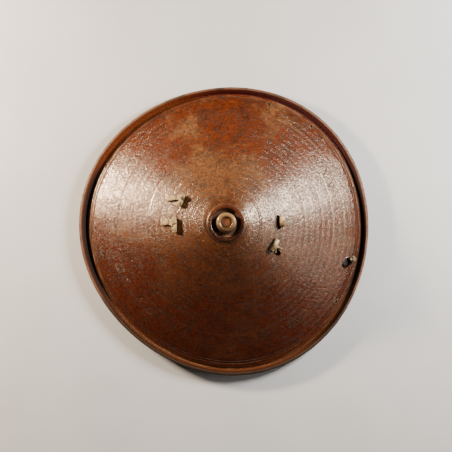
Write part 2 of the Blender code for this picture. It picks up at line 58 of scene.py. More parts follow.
Colour = tuple[float, float, float]
Outline = tuple[list[Vector], list[tuple[int, int]]]
Profile = list[tuple[float, float]]
Sockets = dict[str | int, object]


class Slot(Enum):
    """The record's material slots."""
    HIDE = "tooled_hide"
    RAWHIDE = "rawhide"
    FRAYED = "frayed_rawhide"
    GRIP = "grip_hide"


class Mark(Enum):
    """What a point of a piece is, kept on its mesh for the finishes to read."""
    CUT = "cut"             # how deep the tool went
    EDGE = "edge"           # the cut edge of the hide, and painted highlight on the tops of two knots
    BACK = "back"           # the flesh side
    WORN = "worn"           # rubbed pale
    SOIL = "soil"           # painted shade in hollows, creases and under things, with some grime
    LIP = "lip"             # the gutter and the inside of the lip


def even_rise(share: float) -> float:
    """Returns a smooth rise from 0 to 1 with level ends, for a share that may run past them."""
    share = max(0.0, min(1.0, share))
    return share * share * (3 - 2 * share)


def polar(radius: float, turn: float) -> Vector:
    """Returns the flat point at a radius and a turn in radians."""
    return Vector((radius * cos(turn), radius * sin(turn)))


def ring_points(radius: float, sides: int, offset: float = 0.0) -> list[Vector]:
    """Returns points evenly spread on a flat ring, the first one that share of a step from +X."""
    return [polar(radius, tau * (k + offset) / sides) for k in range(sides)]


def shifted(x: float, y: float, z: float) -> Matrix:
    """Returns the matrix of a shift."""
    return Matrix.Translation((x, y, z))


def turned(turn: float, axis: str = "Z") -> Matrix:
    """Returns the matrix of a turn in radians."""
    return Matrix.Rotation(turn, 4, axis)


def line_points(*places: tuple[float, ...]) -> list[Vector]:
    """Returns the points of a line from their coordinates."""
    return [Vector(place) for place in places]


def put(name: str, data: bpy.types.ID) -> Piece:
    """Puts a mesh, light or camera into the scene as an object."""
    made = bpy.data.objects.new(name, data)
    bpy.context.scene.collection.objects.link(made)
    return made


@dataclass(frozen=True)
class ShieldForm:
    """The sizes of the hide, the same as the solids' own, and the radii and heights that follow from them."""
    rim_radius: float = 0.3000
    thickness: float = 0.0055
    lobes: tuple[tuple[int, float, float], ...] = ((3, 0.0056, 48.7), (2, 0.0015, 141.5))
    flank_rise: float = 0.1180
    flank_bulge: float = 0.0025
    gutter_width: float = 0.0040
    gutter_depth: float = 0.0065
    lip_rise: float = 0.0185
    flare: float = radians(21.0)    # the lip's lean out of the vertical
    lip_shift: float = 0.0018
    lip_shift_turn: float = radians(245.0)
    land_width: float = 0.0060
    dimple_radius: float = 0.0100
    dimple_depth: float = 0.0035
    knob_radius: float = 0.0203
    knob_stand: float = 0.0090
    knob_shoulder: float = 0.0065
    groove_width: float = 0.0080
    groove_depth: float = 0.0105
    ridge_width: float = 0.0107
    ridge_stand: float = 0.0035
    hollow_floor: float = 0.1175    # height of the hollow's mouth, behind the boss
    ripple: float = 0.00055         # slow waves of the old hide, seen in its gloss

    lip_inner: float = rim_radius - thickness * cos(flare)
    lip_foot: float = lip_inner - lip_rise * tan(flare)
    edge: float = lip_foot - gutter_width                   # radius of the cone's edge, over the gutter
    edge_height: float = thickness + gutter_depth
    lip_height: float = thickness + lip_rise
    lip_outer_height: float = lip_height - thickness * sin(flare)       # the cut edge stands square to the lip
    land_outer: float = rim_radius - lip_outer_height * tan(flare)      # outside of the ring that it rests on
    foot: float = knob_radius + groove_width + ridge_width  # radius of the boss's foot
    foot_height: float = edge_height + flank_rise
    ridge_top: float = foot_height + ridge_stand
    groove_floor: float = ridge_top - groove_depth
    knob_top: float = ridge_top + knob_stand
    drop: float = thickness / cos(atan2(flank_rise, edge - foot))       # the face over the back, where it slopes

    def flank(self, radius: float) -> float:
        """Returns the height of the cone's face at a radius of the round form."""
        share = (self.edge - radius) / (self.edge - self.foot)
        return self.edge_height + self.flank_rise * share + 4 * self.flank_bulge * share * (1 - share)

    def swell(self, turn: float) -> float:
        """Returns how far the lobes push the rim out at a turn in radians."""
        return sum(reach * cos(count * (turn - radians(way))) for count, reach, way in self.lobes)

    def axis(self) -> Vector:
        """Returns where the boss's axis stands in the frame: the outline's box is centred on the origin.

        Returns:
            The shift that centres it.
        """
        ring = [self.bent(Vector((*point, self.lip_outer_height))) for point in ring_points(self.rim_radius, 720)]
        xs, ys, _ = zip(*ring)
        return Vector((-(min(xs) + max(xs)) / 2, -(min(ys) + max(ys)) / 2, 0))

    def bent(self, point: Vector) -> Vector:
        """Lays a point of the round form out to the real outline.

        Args:
            point: a point about the boss's axis, in the round form.

        Returns:
            The point about the boss's axis in the lobed form, its lip sagged to one side.
        """
        turn = atan2(point.y, point.x)
        radius = hypot(point.x, point.y)
        real = radius + self.swell(turn) * (radius / self.rim_radius) ** 3
        bent = Vector((*polar(real, turn), point.z))
        if radius > self.lip_foot and point.z > 0:
            share = self.lip_shift * min(1.0, point.z / self.lip_height)
            bent += Vector((*polar(share, self.lip_shift_turn), 0))
        return bent

    def rounded(self, x: float, y: float) -> Vector:
        """Returns the flat point of the round form that comes to lie at a real point about the axis.

        Args:
            x: the real place along X.
            y: the real place along Y.

        Returns:
            The flat point.
        """
        turn = atan2(y, x)
        radius = hypot(x, y)
        return polar(radius - self.swell(turn) * (radius / self.rim_radius) ** 3, turn)

    def round_frame(self, here: Vector) -> Matrix:
        """Returns a frame on the round form's face: X away from the boss, Z out of the hide.

        Args:
            here: the flat place on the round form.

        Returns:
            The frame.
        """
        step = 0.002
        radius = here.length
        slope = atan2(self.flank(radius - step) - self.flank(radius + step), 2 * step)
        across = turned(atan2(here.y, here.x)) @ turned(slope, "Y")
        return shifted(here.x, here.y, self.flank(radius)) @ across

    def face_frame(self, x: float, y: float) -> Matrix:
        """Returns a frame on the face at a real point: X away from the boss, Z out of the hide."""
        shift = Vector((x, y)) - self.rounded(x, y)
        return shifted(*(AXIS.xy + shift), 0) @ self.round_frame(self.rounded(x, y))

    def waved(self, point: Vector) -> Vector:
        """Adds the hide's slow waves to a point about the axis; none reach the ring that it rests on.

        Args:
            point: a point about the axis.

        Returns:
            The point, a little higher or lower.
        """
        slow = noise.noise(Vector((point.x * 17, point.y * 17, 3.7)))
        quick = noise.noise(Vector((point.x * 42, point.y * 42, 9.1)))
        height = self.ripple * (slow + 0.45 * quick) * even_rise(point.z / 0.020)
        return Vector((point.x, point.y, point.z + height))


FORM = ShieldForm()
AXIS = FORM.axis()


class Bench:
    """The modelling operators, each called with a clean selection."""

    @staticmethod
    def clear() -> None:
        """Leaves edit mode and deselects every object."""
        if bpy.context.object is not None and bpy.context.object.mode != "OBJECT":
            bpy.ops.object.mode_set(mode="OBJECT")
        bpy.ops.object.select_all(action="DESELECT")

    @staticmethod
    def take(piece: Piece) -> None:
        """Selects one object alone and makes it active."""
        Bench.clear()
        piece.select_set(True)
        bpy.context.view_layer.objects.active = piece

    @staticmethod
    def edit(piece: Piece) -> None:
        """Opens one object in edit mode with all of it selected."""
        Bench.take(piece)
        bpy.ops.object.mode_set(mode="EDIT")
        bpy.ops.mesh.select_mode(type="VERT")
        bpy.ops.mesh.select_all(action="SELECT")

    @staticmethod
    def line(name: str, points: Sequence[Vector]) -> Piece:
        """Draws a chain of points by extrusion and leaves it in edit mode, its last point selected.

        Args:
            name: the piece's name.
            points: the line's points in order.

        Returns:
            The new object.
        """
        Bench.clear()
        bpy.ops.mesh.primitive_plane_add(size=0.001, location=(0, 0, 0))
        made = bpy.context.object
        made.name = made.data.name = name
        Bench.edit(made)
        bpy.ops.mesh.merge(type="CENTER")
        bpy.ops.transform.translate(value=points[0])
        for here, after in zip(points, points[1:]):
            bpy.ops.mesh.extrude_vertices_move(TRANSFORM_OT_translate={"value": after - here})
        return made

    @staticmethod
    def lathe(name: str, profile: Sequence[tuple[float, float]], steps: int) -> Piece:
        """Spins a profile of radii and heights once round the boss's axis.

        Args:
            name: the piece's name.
            profile: radius and height of each point.
            steps: how many times the profile repeats round the axis.

        Returns:
            The spun object, in object mode.
        """
        made = Bench.line(name, [Vector((radius, 0, height)) for radius, height in profile])
        bpy.ops.mesh.select_all(action="SELECT")
        bpy.ops.mesh.spin(steps=steps, angle=tau, center=(0, 0, 0), axis=(0, 0, 1))
        bpy.ops.mesh.select_all(action="SELECT")
        bpy.ops.mesh.remove_doubles(threshold=1e-6)
        bpy.ops.object.mode_set(mode="OBJECT")
        return made

    @staticmethod
    def close(piece: Piece, doubles: float | None = 1e-6) -> None:
        """Merges doubled points, if it is to, and turns all faces outwards.

        Args:
            piece: the piece.
            doubles: how near doubled points are; None merges nothing.
        """
        Bench.edit(piece)
        if doubles is not None:
            bpy.ops.mesh.remove_doubles(threshold=doubles)
        bpy.ops.mesh.normals_make_consistent(inside=False)
        bpy.ops.object.mode_set(mode="OBJECT")

    @staticmethod
    def join(pieces: Sequence[Piece], name: str) -> Piece:
        """Joins objects into the first one and gives it a name.

        Args:
            pieces: the objects.
            name: the joined piece's name.

        Returns:
            The joined piece.
        """
        Bench.take(pieces[0])
        for piece in pieces:
            piece.select_set(True)
        bpy.ops.object.join()
        pieces[0].name = pieces[0].data.name = name
        return pieces[0]

    @staticmethod
    def modify(piece: Piece, kind: str, **settings: object) -> None:
        """Adds a modifier, sets it and applies it.

        Args:
            piece: the piece.
            kind: the modifier's type.
            settings: its settings.
        """
        Bench.take(piece)
        modifier = piece.modifiers.new(kind.title(), kind)
        for name, value in settings.items():
            setattr(modifier, name, value)
        bpy.ops.object.modifier_apply(modifier=modifier.name)

    @staticmethod
    def cut(piece: Piece, cutter: Piece) -> None:
        """Cuts one object out of another and removes the cutter."""
        Bench.modify(piece, "BOOLEAN", operation="DIFFERENCE", solver="EXACT", object=cutter)
        bpy.data.objects.remove(cutter, do_unlink=True)

    @staticmethod
    def smooth(piece: Piece, degrees: float) -> None:
        """Shades a piece smooth, but for edges sharper than an angle."""
        Bench.take(piece)
        bpy.ops.object.shade_smooth_by_angle(angle=radians(degrees))

    @staticmethod
    def finish(piece: Piece, node: str, slot: Slot, skin: bpy.types.Material) -> None:
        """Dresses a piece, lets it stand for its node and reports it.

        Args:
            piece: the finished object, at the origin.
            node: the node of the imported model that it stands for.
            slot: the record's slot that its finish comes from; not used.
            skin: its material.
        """
        piece.data.materials.clear()
        piece.data.materials.append(skin)
        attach(piece, "root")
        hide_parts(node)
        faces = sum(len(face.vertices) - 2 for face in piece.data.polygons)
        LOG.info("%s stands for %s: %d triangles", piece.name, node, faces)


def move_points(piece: Piece, place: Callable[[Vector], Vector]) -> None:
    """Moves every point of a mesh by a function of its place.

    Args:
        piece: the piece.
        place: gives each point its new place.
    """
    for vert in piece.data.vertices:
        vert.co = place(vert.co)
    piece.data.update()


def mark_points(piece: Piece, mark: Mark, value: Callable[[Vector], float]) -> None:
    """Keeps a number between 0 and 1 on every point of a mesh, as a function of its place."""
    layer = piece.data.attributes.new(mark.value, "FLOAT", "POINT")
    layer.data.foreach_set("value", [max(0.0, min(1.0, value(vert.co))) for vert in piece.data.vertices])


class Link:
    """A value, colour or vector in a material; sums with it add Math or Vector Math nodes."""

    def __init__(self, recipe: "Recipe", socket: bpy.types.NodeSocket) -> None:
        """Keeps the socket that carries it and the recipe that it belongs to."""
        self.recipe = recipe
        self.socket = socket

    def join(self, operation: str, first: "Link | float", second: "Link | float") -> "Link":
        """Adds the node for one operation.

        Args:
            operation: the operation's name in Math and Vector Math.
            first: its first operand.
            second: its second operand.

        Returns:
            The result.
        """
        wide = any(isinstance(item, Link) and item.socket.type != "VALUE" for item in (first, second))
        kind = "ShaderNodeVectorMath" if wide else "ShaderNodeMath"
        return self.recipe.link(kind, {"operation": operation}, {0: first, 1: second})

    def then(self, operation: str, other: "Link | float") -> "Link":
        """Adds the node for an operation with the link in front."""
        return self.join(operation, self, other)

    def after(self, operation: str, other: float) -> "Link":
        """Adds the node for an operation with a number in front."""
        return self.join(operation, other, self)

    __add__, __radd__ = partialmethod(then, "ADD"), partialmethod(after, "ADD")
    __sub__, __rsub__ = partialmethod(then, "SUBTRACT"), partialmethod(after, "SUBTRACT")
    __mul__, __rmul__ = partialmethod(then, "MULTIPLY"), partialmethod(after, "MULTIPLY")
    __truediv__, __rtruediv__ = partialmethod(then, "DIVIDE"), partialmethod(after, "DIVIDE")
    __pow__, __rpow__ = partialmethod(then, "POWER"), partialmethod(after, "POWER")


class Recipe:
    """A material in the making: its nodes and how they are fed."""

    def __init__(self, name: str) -> None:
        """Starts an empty material with one Principled surface.

        Args:
            name: the material's name.
        """
        self.skin = bpy.data.materials.new(name)
        self.skin.use_nodes = True
        self.tree = self.skin.node_tree
        self.tree.nodes.clear()
        self.surface = self.node("ShaderNodeBsdfPrincipled", {}, {})
        output = self.node("ShaderNodeOutputMaterial", {}, {})
        self.tree.links.new(self.surface.outputs[0], output.inputs[0])
        self.place = self.link("ShaderNodeTexCoord", {}, {}, "Object")

    def node(self, kind: str, settings: dict[str, object], sockets: Sockets) -> bpy.types.Node:
        """Adds a node.

        Args:
            kind: the node's type.
            settings: its own settings, set first; "stops" fills a ramp.
            sockets: a value or a link for each named or numbered input.

        Returns:
            The node.
        """
        made = self.tree.nodes.new(kind)
        for name, value in settings.items():
            if name == "stops":
                self.fill_ramp(made.color_ramp, value)
            else:
                setattr(made, name, value)
        for key, value in sockets.items():
            socket = made.inputs[key]
            if isinstance(value, Link):
                self.tree.links.new(value.socket, socket)
            elif isinstance(value, tuple):
                socket.default_value = value if socket.type == "VECTOR" else (*value, 1.0)
            else:
                socket.default_value = (value,) * 3 if socket.type == "VECTOR" else value
        return made

    @staticmethod
    def fill_ramp(ramp: bpy.types.ColorRamp, stops: Sequence[tuple[float, Colour]]) -> None:
        """Sets a ramp's stops to colours at their places.

        Args:
            ramp: the ramp.
            stops: each stop's place and colour.
        """
        while len(ramp.elements) < len(stops):
            ramp.elements.new(1.0)
        for element, (place, colour) in zip(ramp.elements, stops):
            element.position = place
            element.color = (*colour, 1.0)

    def link(self, kind: str, settings: dict[str, object], sockets: Sockets,
             out: str | int = 0) -> Link:
        """Adds a node and returns one of its outputs."""
        return Link(self, self.node(kind, settings, sockets).outputs[out])

    def mark(self, mark: Mark) -> Link:
        """Returns what a mark of the mesh says here."""
        return self.link("ShaderNodeAttribute", {"attribute_name": mark.value}, {}, "Fac")

    def noise(self, scale: float, detail: float = 3.0, rough: float = 0.55, place: Link | None = None) -> Link:
        """Returns soft noise between 0 and 1, at so many waves a metre."""
        sockets = {"Vector": place or self.place, "Scale": scale, "Detail": detail, "Roughness": rough}
        return self.link("ShaderNodeTexNoise", {}, sockets)

    def cells(self, scale: float) -> Link:
        """Returns the distance in a pattern of cells, at so many cells a metre."""
        return self.link("ShaderNodeTexVoronoi", {}, {"Vector": self.place, "Scale": scale}, "Distance")

    def maths(self, operation: str, *values: Link | float) -> Link:
        """Returns what a Math node makes of its values."""
        return self.link("ShaderNodeMath", {"operation": operation}, dict(enumerate(values)))

    def stretched(self, scale: Colour, turn: float) -> Link:
        """Returns Object coordinates turned about Z and stretched."""
        sockets = {"Vector": self.place, "Rotation": (0.0, 0.0, radians(turn)), "Scale": scale}
        return self.link("ShaderNodeMapping", {}, sockets)

    def between(self, value: Link, low: float, high: float) -> Link:
        """Returns a smooth rise from 0 to 1 as a value goes from low to high, which may be the lower one.

        Args:
            value: the value.
            low: where the rise starts.
            high: where it ends.

        Returns:
            The rise.
        """
        falling = low > high
        ends = (high, low) if falling else (low, high)
        sockets = {"Value": value, "From Min": ends[0], "From Max": ends[1]}
        sockets |= {"To Min": float(falling), "To Max": float(not falling)}
        return self.link("ShaderNodeMapRange", {"interpolation_type": "SMOOTHSTEP"}, sockets)

    def ramp(self, value: Link, stops: Sequence[tuple[float, Colour]]) -> Link:
        """Returns the colour that a ramp gives a value."""
        return self.link("ShaderNodeValToRGB", {"stops": stops}, {"Fac": value})

    def blend(self, first: Link | Colour, second: Link | Colour, share: Link | float) -> Link:
        """Returns a colour between two."""
        return self.link("ShaderNodeMix", {"data_type": "RGBA"}, {0: share, 6: first, 7: second}, 2)

    def coats(self, colour: Link | Colour, *coats: tuple[Link | Colour, Link | float]) -> Link:
        """Returns a colour with coats laid over it in turn, each one a colour and its share."""
        for coat, share in coats:
            colour = self.blend(colour, coat, share)
        return colour

    def part(self, value: Link, axis: int) -> Link:
        """Returns X, Y or Z of a vector."""
        return self.link("ShaderNodeSeparateXYZ", {}, {0: value}, axis)

    def relief(self, height: Link, distance: float, strength: float = 1.0, under: Link | None = None) -> Link:
        """Returns a normal bent by a height.

        Args:
            height: the height.
            distance: how far it stands out.
            strength: its share.
            under: a normal that it bends further.

        Returns:
            The normal.
        """
        sockets: Sockets = {"Height": height, "Distance": distance, "Strength": strength}
        if under is not None:
            sockets["Normal"] = under
        return self.link("ShaderNodeBump", {}, sockets)

    def dress(self, sockets: Sockets) -> bpy.types.Material:
        """Feeds the surface and returns the finished material.

        Args:
            sockets: a value or a link for each of the surface's inputs.

        Returns:
            The material.
        """
        for key, value in sockets.items():
            socket = self.surface.inputs[key]
            if isinstance(value, Link):
                self.tree.links.new(value.socket, socket)
            else:
                socket.default_value = value
        return self.skin


@dataclass(frozen=True)
class TooledHide:
    """Red-brown tanned hide, polished by hands, dark where the tool cut and pale where it is rubbed, with painted shade
    in the boss's groove, the gutter and the holes, darker towards the bottom, and painted light and highlight on parts
    of the boss and lip.
    """
    red: Colour = (0.054, 0.0046, 0.0012)
    orange: Colour = (0.132, 0.0225, 0.0038)
    # olive turns golden towards the top of the shield, the golden partly painted light.
    olive: Colour = (0.074, 0.0175, 0.0058)
    golden: Colour = (0.215, 0.0930, 0.0330)
    # dark is the hide's own dark mottle and tool marks, and also painted shade on the boss.
    dark: Colour = (0.018, 0.0046, 0.0020)
    # Near black: painted shade in the groove, gutter and holes, and grime on the boss.
    soil: Colour = (0.010, 0.0035, 0.0024)
    # rubbed is pale wear, and also painted highlight along the rim's lines and low in the gutter.
    rubbed: Colour = (0.210, 0.115, 0.055)
    cut_edge: Colour = (0.095, 0.038, 0.019)
    # The cut edge's darker colour: age, and painted shade on the lower side.
    aged_and_shaded_edge: Colour = (0.020, 0.009, 0.005)
    # The lip's inside; tawny also paints light on its upper left, violet paints shade on its upper right.
    maroon: Colour = (0.098, 0.0115, 0.0080)
    ochre: Colour = (0.074, 0.0225, 0.0080)
    tawny: Colour = (0.170, 0.0370, 0.0100)
    violet: Colour = (0.046, 0.0110, 0.0140)
    flesh: Colour = (0.075, 0.036, 0.018)
    row: float = 0.0058         # width of a ring of strokes
    pitch: float = 0.0038       # from one stroke to the next
    lean: float = 38.0          # how far the strokes lean, in degrees
    roughness: float = 0.12

    def make(self) -> bpy.types.Material:
        """Mixes the finish.

        Returns:
            The material.
        """
        mix = Recipe("tooled_hide_finish")
        away = mix.place - tuple(AXIS)
        x, y = mix.part(away, 0), mix.part(away, 1)
        radius = (x * x + y * y) ** 0.5
        cut, edge, back = mix.mark(Mark.CUT), mix.mark(Mark.EDGE), mix.mark(Mark.BACK)
        worn, soil = mix.mark(Mark.WORN), mix.mark(Mark.SOIL)

        broad = mix.noise(7.0)
        patch = mix.noise(13.0, 4.0, 0.6)
        streak = self.ringed(mix, (x, y, radius), (70, 70, 330), 3.0)
        combed = self.combed(mix, x, y, radius)
        cloud = mix.noise(34.0, 5.0, 0.62)
        fleck = mix.noise(190.0, 3.0, 0.6)
        speck = mix.noise(330.0, 2.0, 0.7)
        # Towards the top the hide turns orange and golden, towards the bottom redder, more olive and darker: partly its
        # own tone, partly painted light on the upper side and painted shade on the lower.
        height = mix.between(y + 0.10 * (broad - 0.5), -0.16, 0.20)
        inner = mix.between(radius + 0.10 * (broad - 0.5), 0.22, 0.08)
        pit = mix.between(speck, 0.49, 0.58)
        colour = mix.coats(
            self.red,
            (self.orange, mix.between(0.75 * height + 0.9 * (broad - 0.5), 0.0, 1.0)),
            (mix.blend(self.olive, self.golden, height), mix.between(patch + 0.24 * inner, 0.52, 0.70)),
            (self.dark, 0.62 * mix.between(cloud, 0.49, 0.68)),
            (self.dark, 0.40 * mix.between(fleck, 0.50, 0.62)),
            (self.dark, 0.30 * mix.between(streak, 0.50, 0.68)),
            (self.dark, 0.82 * pit),
            (self.rubbed, 0.10 * mix.between(streak + 0.3 * (fleck - 0.5), 0.50, 0.32)),
            (self.tawny, 0.40 * mix.between(speck, 0.48, 0.38)),
            (self.dark, 0.85 * combed),
            (self.dark, 0.70 * mix.between(cut, 0.15, 0.9)))
        colour = self.boss(mix, colour, radius, cloud)

        low = mix.between(y, -0.12, -0.22)
        high = mix.part(mix.place, 2)
        lip = mix.mark(Mark.LIP)
        dashes = mix.between(self.ringed(mix, (x, y, radius), (26, 26, 900), 2.0), 0.50, 0.60)
        # The lip's inside: maroon, more ochre towards the bottom, tawny on the upper left as painted light and violet
        # on the upper right as painted shade; on the lower side its upper part is darkened as painted shade and pale
        # dashes low in the gutter are painted highlight.
        wall = mix.coats(
            self.maroon,
            (self.ochre, mix.between(0.10 * (cloud - 0.5) - y, 0.02, 0.16)),
            (self.tawny, mix.between(y - x, 0.300, 0.390)),
            (self.violet, mix.between(y + x, 0.290, 0.380)),
            (self.aged_and_shaded_edge, 0.9 * low * mix.between(high, 0.0150, 0.0185)),
            (self.rubbed, 0.8 * low * dashes * mix.between(high, 0.0125, 0.0085)))
        brow = mix.between(radius, FORM.edge - 0.0120, FORM.edge - 0.0010) * (1 - lip)
        colour = mix.coats(
            colour,
            (self.rubbed, 0.75 * mix.between(worn * (0.5 + cloud), 0.35, 0.85)),
            (wall, 0.85 * lip),
            # Pale dashes along the rim's lines, fainter on the lower side: wear, and painted highlight where the lamps
            # catch them.
            (self.rubbed, 0.55 * dashes * brow * (1 - 0.8 * low)),
            # Painted shade, near black, in the boss's groove, in the gutter and at the edges of the openings.
            (self.soil, 0.97 * mix.between(soil, 0.15, 0.75)),
            # The cut edge of the lip, darker in cloudy patches with age and darker towards the bottom as painted shade.
            (mix.blend(self.cut_edge, self.aged_and_shaded_edge, mix.between(0.6 * low + cloud, 0.45, 0.75)), edge),
            (mix.blend(self.flesh, self.dark, 0.6 * mix.between(cloud, 0.40, 0.70)), back))

        gloss = self.roughness + 0.27 * pit + 0.20 * mix.between(cut, 0.0, 0.4) + 0.16 * combed
        gloss = gloss + 0.40 * edge + 0.40 * back + 0.65 * soil + 0.05 * mix.between(streak, 0.46, 0.66)
        grain = mix.relief(0.5 * mix.cells(300.0) + 0.8 * speck - 0.8 * combed, 0.0006, 0.55)
        bent = mix.relief(mix.noise(60.0), 0.0010, 0.15, grain)
        return mix.dress({"Base Color": colour, "Roughness": gloss, "Normal": bent, "IOR": 1.60,
                          "Specular Tint": (1.0, 0.81, 0.63, 1.0)})

    @staticmethod
    def ringed(mix: Recipe, place: tuple[Link, Link, Link], waves: Colour, detail: float) -> Link:
        """Returns noise that runs along the rings.

        Args:
            mix: the recipe.
            place: X, Y and the radius, from the boss's axis.
            waves: how many waves a metre it has along each of them.
            detail: how fine it is.

        Returns:
            The noise, between 0 and 1.
        """
        drawn = {n: wave * part for n, (wave, part) in enumerate(zip(waves, place))}
        return mix.noise(1.0, detail, 0.6, mix.link("ShaderNodeCombineXYZ", {}, drawn))

    def combed(self, mix: Recipe, x: Link, y: Link, radius: Link) -> Link:
        """Returns the fine slanting strokes between the tooled lines, turned over from ring to ring.

        Args:
            mix: the recipe.
            x: the place along X, from the boss's axis.
            y: the place along Y.
            radius: how far the place is from the axis.

        Returns:
            1 in a stroke and 0 between strokes.
        """
        wobble = mix.noise(55.0, 2.0)
        row = mix.maths("FLOOR", radius / self.row + 0.55 * wobble)
        flip = mix.maths("PINGPONG", row, 1.0) * 2 - 1
        middle = (row + 0.25) * self.row
        count = mix.maths("ROUND", middle * (tau / self.pitch))
        lean = tau / self.pitch * tan(radians(self.lean))
        phase = mix.maths("ARCTAN2", y, x) * count + flip * (radius - middle) * lean + 5.0 * wobble
        stroke = mix.between(mix.maths("SINE", phase), -0.15, 0.70)
        plain = 0.5 + 0.5 * mix.between(mix.noise(36.0), 0.34, 0.60)
        uneven = mix.between(mix.noise(165.0, 2.0, 0.6), 0.44, 0.56)
        field_share = mix.between(radius, 0.047, 0.056)
        share = plain * (0.45 + 0.55 * field_share) * mix.between(radius, FORM.edge, FORM.edge - 0.0020)
        return share * (stroke * (0.30 + 0.70 * uneven) + 0.35 * uneven * (1 - stroke))

    def boss(self, mix: Recipe, colour: Link, radius: Link, cloud: Link) -> Link:
        """Lays the worn knob, its dark dimple and the boss's painted light and shade over the hide's colour.

        Args:
            mix: the recipe.
            colour: the hide's colour.
            radius: how far the place is from the boss's axis.
            cloud: noise that makes the wear uneven.

        Returns:
            The colour with the boss's own.
        """
        # The near-black stops across the groove are painted shade.
        knob = mix.ramp((radius + 0.005 * (cloud - 0.5)) / 0.050, (
            (0.00, (0.150, 0.058, 0.024)), (0.13, (0.130, 0.046, 0.018)), (0.185, (0.050, 0.017, 0.006)),
            (0.225, (0.120, 0.060, 0.022)), (0.29, (0.215, 0.124, 0.050)), (0.37, (0.200, 0.112, 0.044)),
            (0.405, (0.090, 0.040, 0.020)), (0.44, (0.022, 0.009, 0.006)), (0.55, (0.022, 0.008, 0.005)),
            (0.60, (0.060, 0.020, 0.010)), (0.80, (0.085, 0.022, 0.007))))
        # The knob's and ridge's lower sides get painted shade, the groove's upper side painted light.
        north = mix.part(mix.place, 1)
        shade = mix.between(north + 0.012 * (cloud - 0.5), 0.008, -0.010)
        lit_above = mix.between(north, 0.014, 0.026) * mix.between(radius, 0.0195, 0.0215)
        under = shade * mix.between(radius, 0.0255, 0.0285) * mix.between(radius, 0.046, 0.036)
        return mix.coats(
            knob,
            (self.dark, 0.72 * shade * mix.between(radius, 0.022, 0.019)),
            (self.soil, 0.35 * mix.between(cloud, 0.50, 0.62)),
            (self.olive, 0.60 * lit_above),
            (colour, mix.between(radius, 0.030, 0.040)),
            (self.dark, 0.85 * under))


@dataclass(frozen=True)
class Rawhide:
    """Pale stiff rawhide, dry and matt, whiter where it was cut, with painted highlight on the tops of two folds and
    painted shade in creases and underneath.
    """
    name: str
    pale: Colour = (0.420, 0.300, 0.130)
    tan: Colour = (0.270, 0.165, 0.060)
    dirt_and_shade: Colour = (0.045, 0.024, 0.010)
    fresh_cut_and_highlight: Colour = (0.640, 0.510, 0.300)
    roughness: float = 0.62
    fibres: float = 0.5

    def make(self) -> bpy.types.Material:
        """Mixes the finish.

        Returns:
            The material.
        """
        mix = Recipe(self.name)
        cloud = mix.noise(150.0, 4.0, 0.6)
        fleck = mix.noise(900.0, 3.0, 0.6)
        fibre = mix.noise(260.0, 3.0, 0.6, mix.stretched((1.0, 6.0, 2.5), 20.0))
        colour = mix.coats(
            self.pale,
            (self.tan, mix.between(cloud, 0.36, 0.60)),
            (self.dirt_and_shade, 0.62 * mix.between(mix.noise(330.0, 2.0, 0.6), 0.51, 0.62)),
            (self.dirt_and_shade, 0.55 * mix.between(0.6 * fibre + 0.4 * fleck, 0.54, 0.72)),
            # Painted shade in creases, under the knots and deep in the torn slot.
            (self.dirt_and_shade, 0.97 * mix.mark(Mark.SOIL)),
            # Paler at cut ends, and painted highlight on the tops of the strip and the fold.
            (self.fresh_cut_and_highlight, 0.8 * mix.mark(Mark.EDGE)))
        gloss = self.roughness + 0.20 * (cloud - 0.5)
        height = 0.6 * fibre * self.fibres + 0.5 * fleck + 0.8 * cloud
        return mix.dress({"Base Color": colour, "Roughness": gloss, "Normal": mix.relief(height, 0.0010, 0.6)})


@dataclass(frozen=True)
class GripHide:
    """Dark brown hide, darkened and polished by the hand."""
    brown: Colour = (0.110, 0.045, 0.022)
    dark: Colour = (0.028, 0.013, 0.009)
    rubbed: Colour = (0.210, 0.100, 0.050)
    roughness: float = 0.48

    def make(self) -> bpy.types.Material:
        """Mixes the finish.

        Returns:
            The material.
        """
        mix = Recipe("grip_hide_finish")
        cloud = mix.noise(60.0, 4.0, 0.6)
        fleck = mix.noise(420.0, 3.0, 0.6)
        colour = mix.coats(
            self.brown,
            (self.dark, mix.between(cloud, 0.38, 0.70)),
            (self.rubbed, 0.35 * mix.between(fleck, 0.55, 0.72)),
            (self.rubbed, 0.55 * mix.mark(Mark.EDGE)))
        gloss = self.roughness + 0.25 * (cloud - 0.5)
        height = mix.cells(380.0) + 0.7 * fleck + 0.8 * cloud
        return mix.dress({"Base Color": colour, "Roughness": gloss, "Normal": mix.relief(height, 0.0007, 0.6)})


@dataclass(frozen=True)
class PaleFloor:
    """Plain pale floor with a very faint mottle."""
    light: Colour = (0.560, 0.555, 0.545)
    shade: Colour = (0.530, 0.525, 0.515)

    def make(self) -> bpy.types.Material:
        """Mixes the finish.

        Returns:
            The material.
        """
        mix = Recipe("pale_floor")
        colour = mix.blend(self.light, self.shade, mix.between(mix.noise(5.0, 2.0), 0.35, 0.65))
        return mix.dress({"Base Color": colour, "Roughness": 0.85 + 0.05 * mix.noise(30.0)})


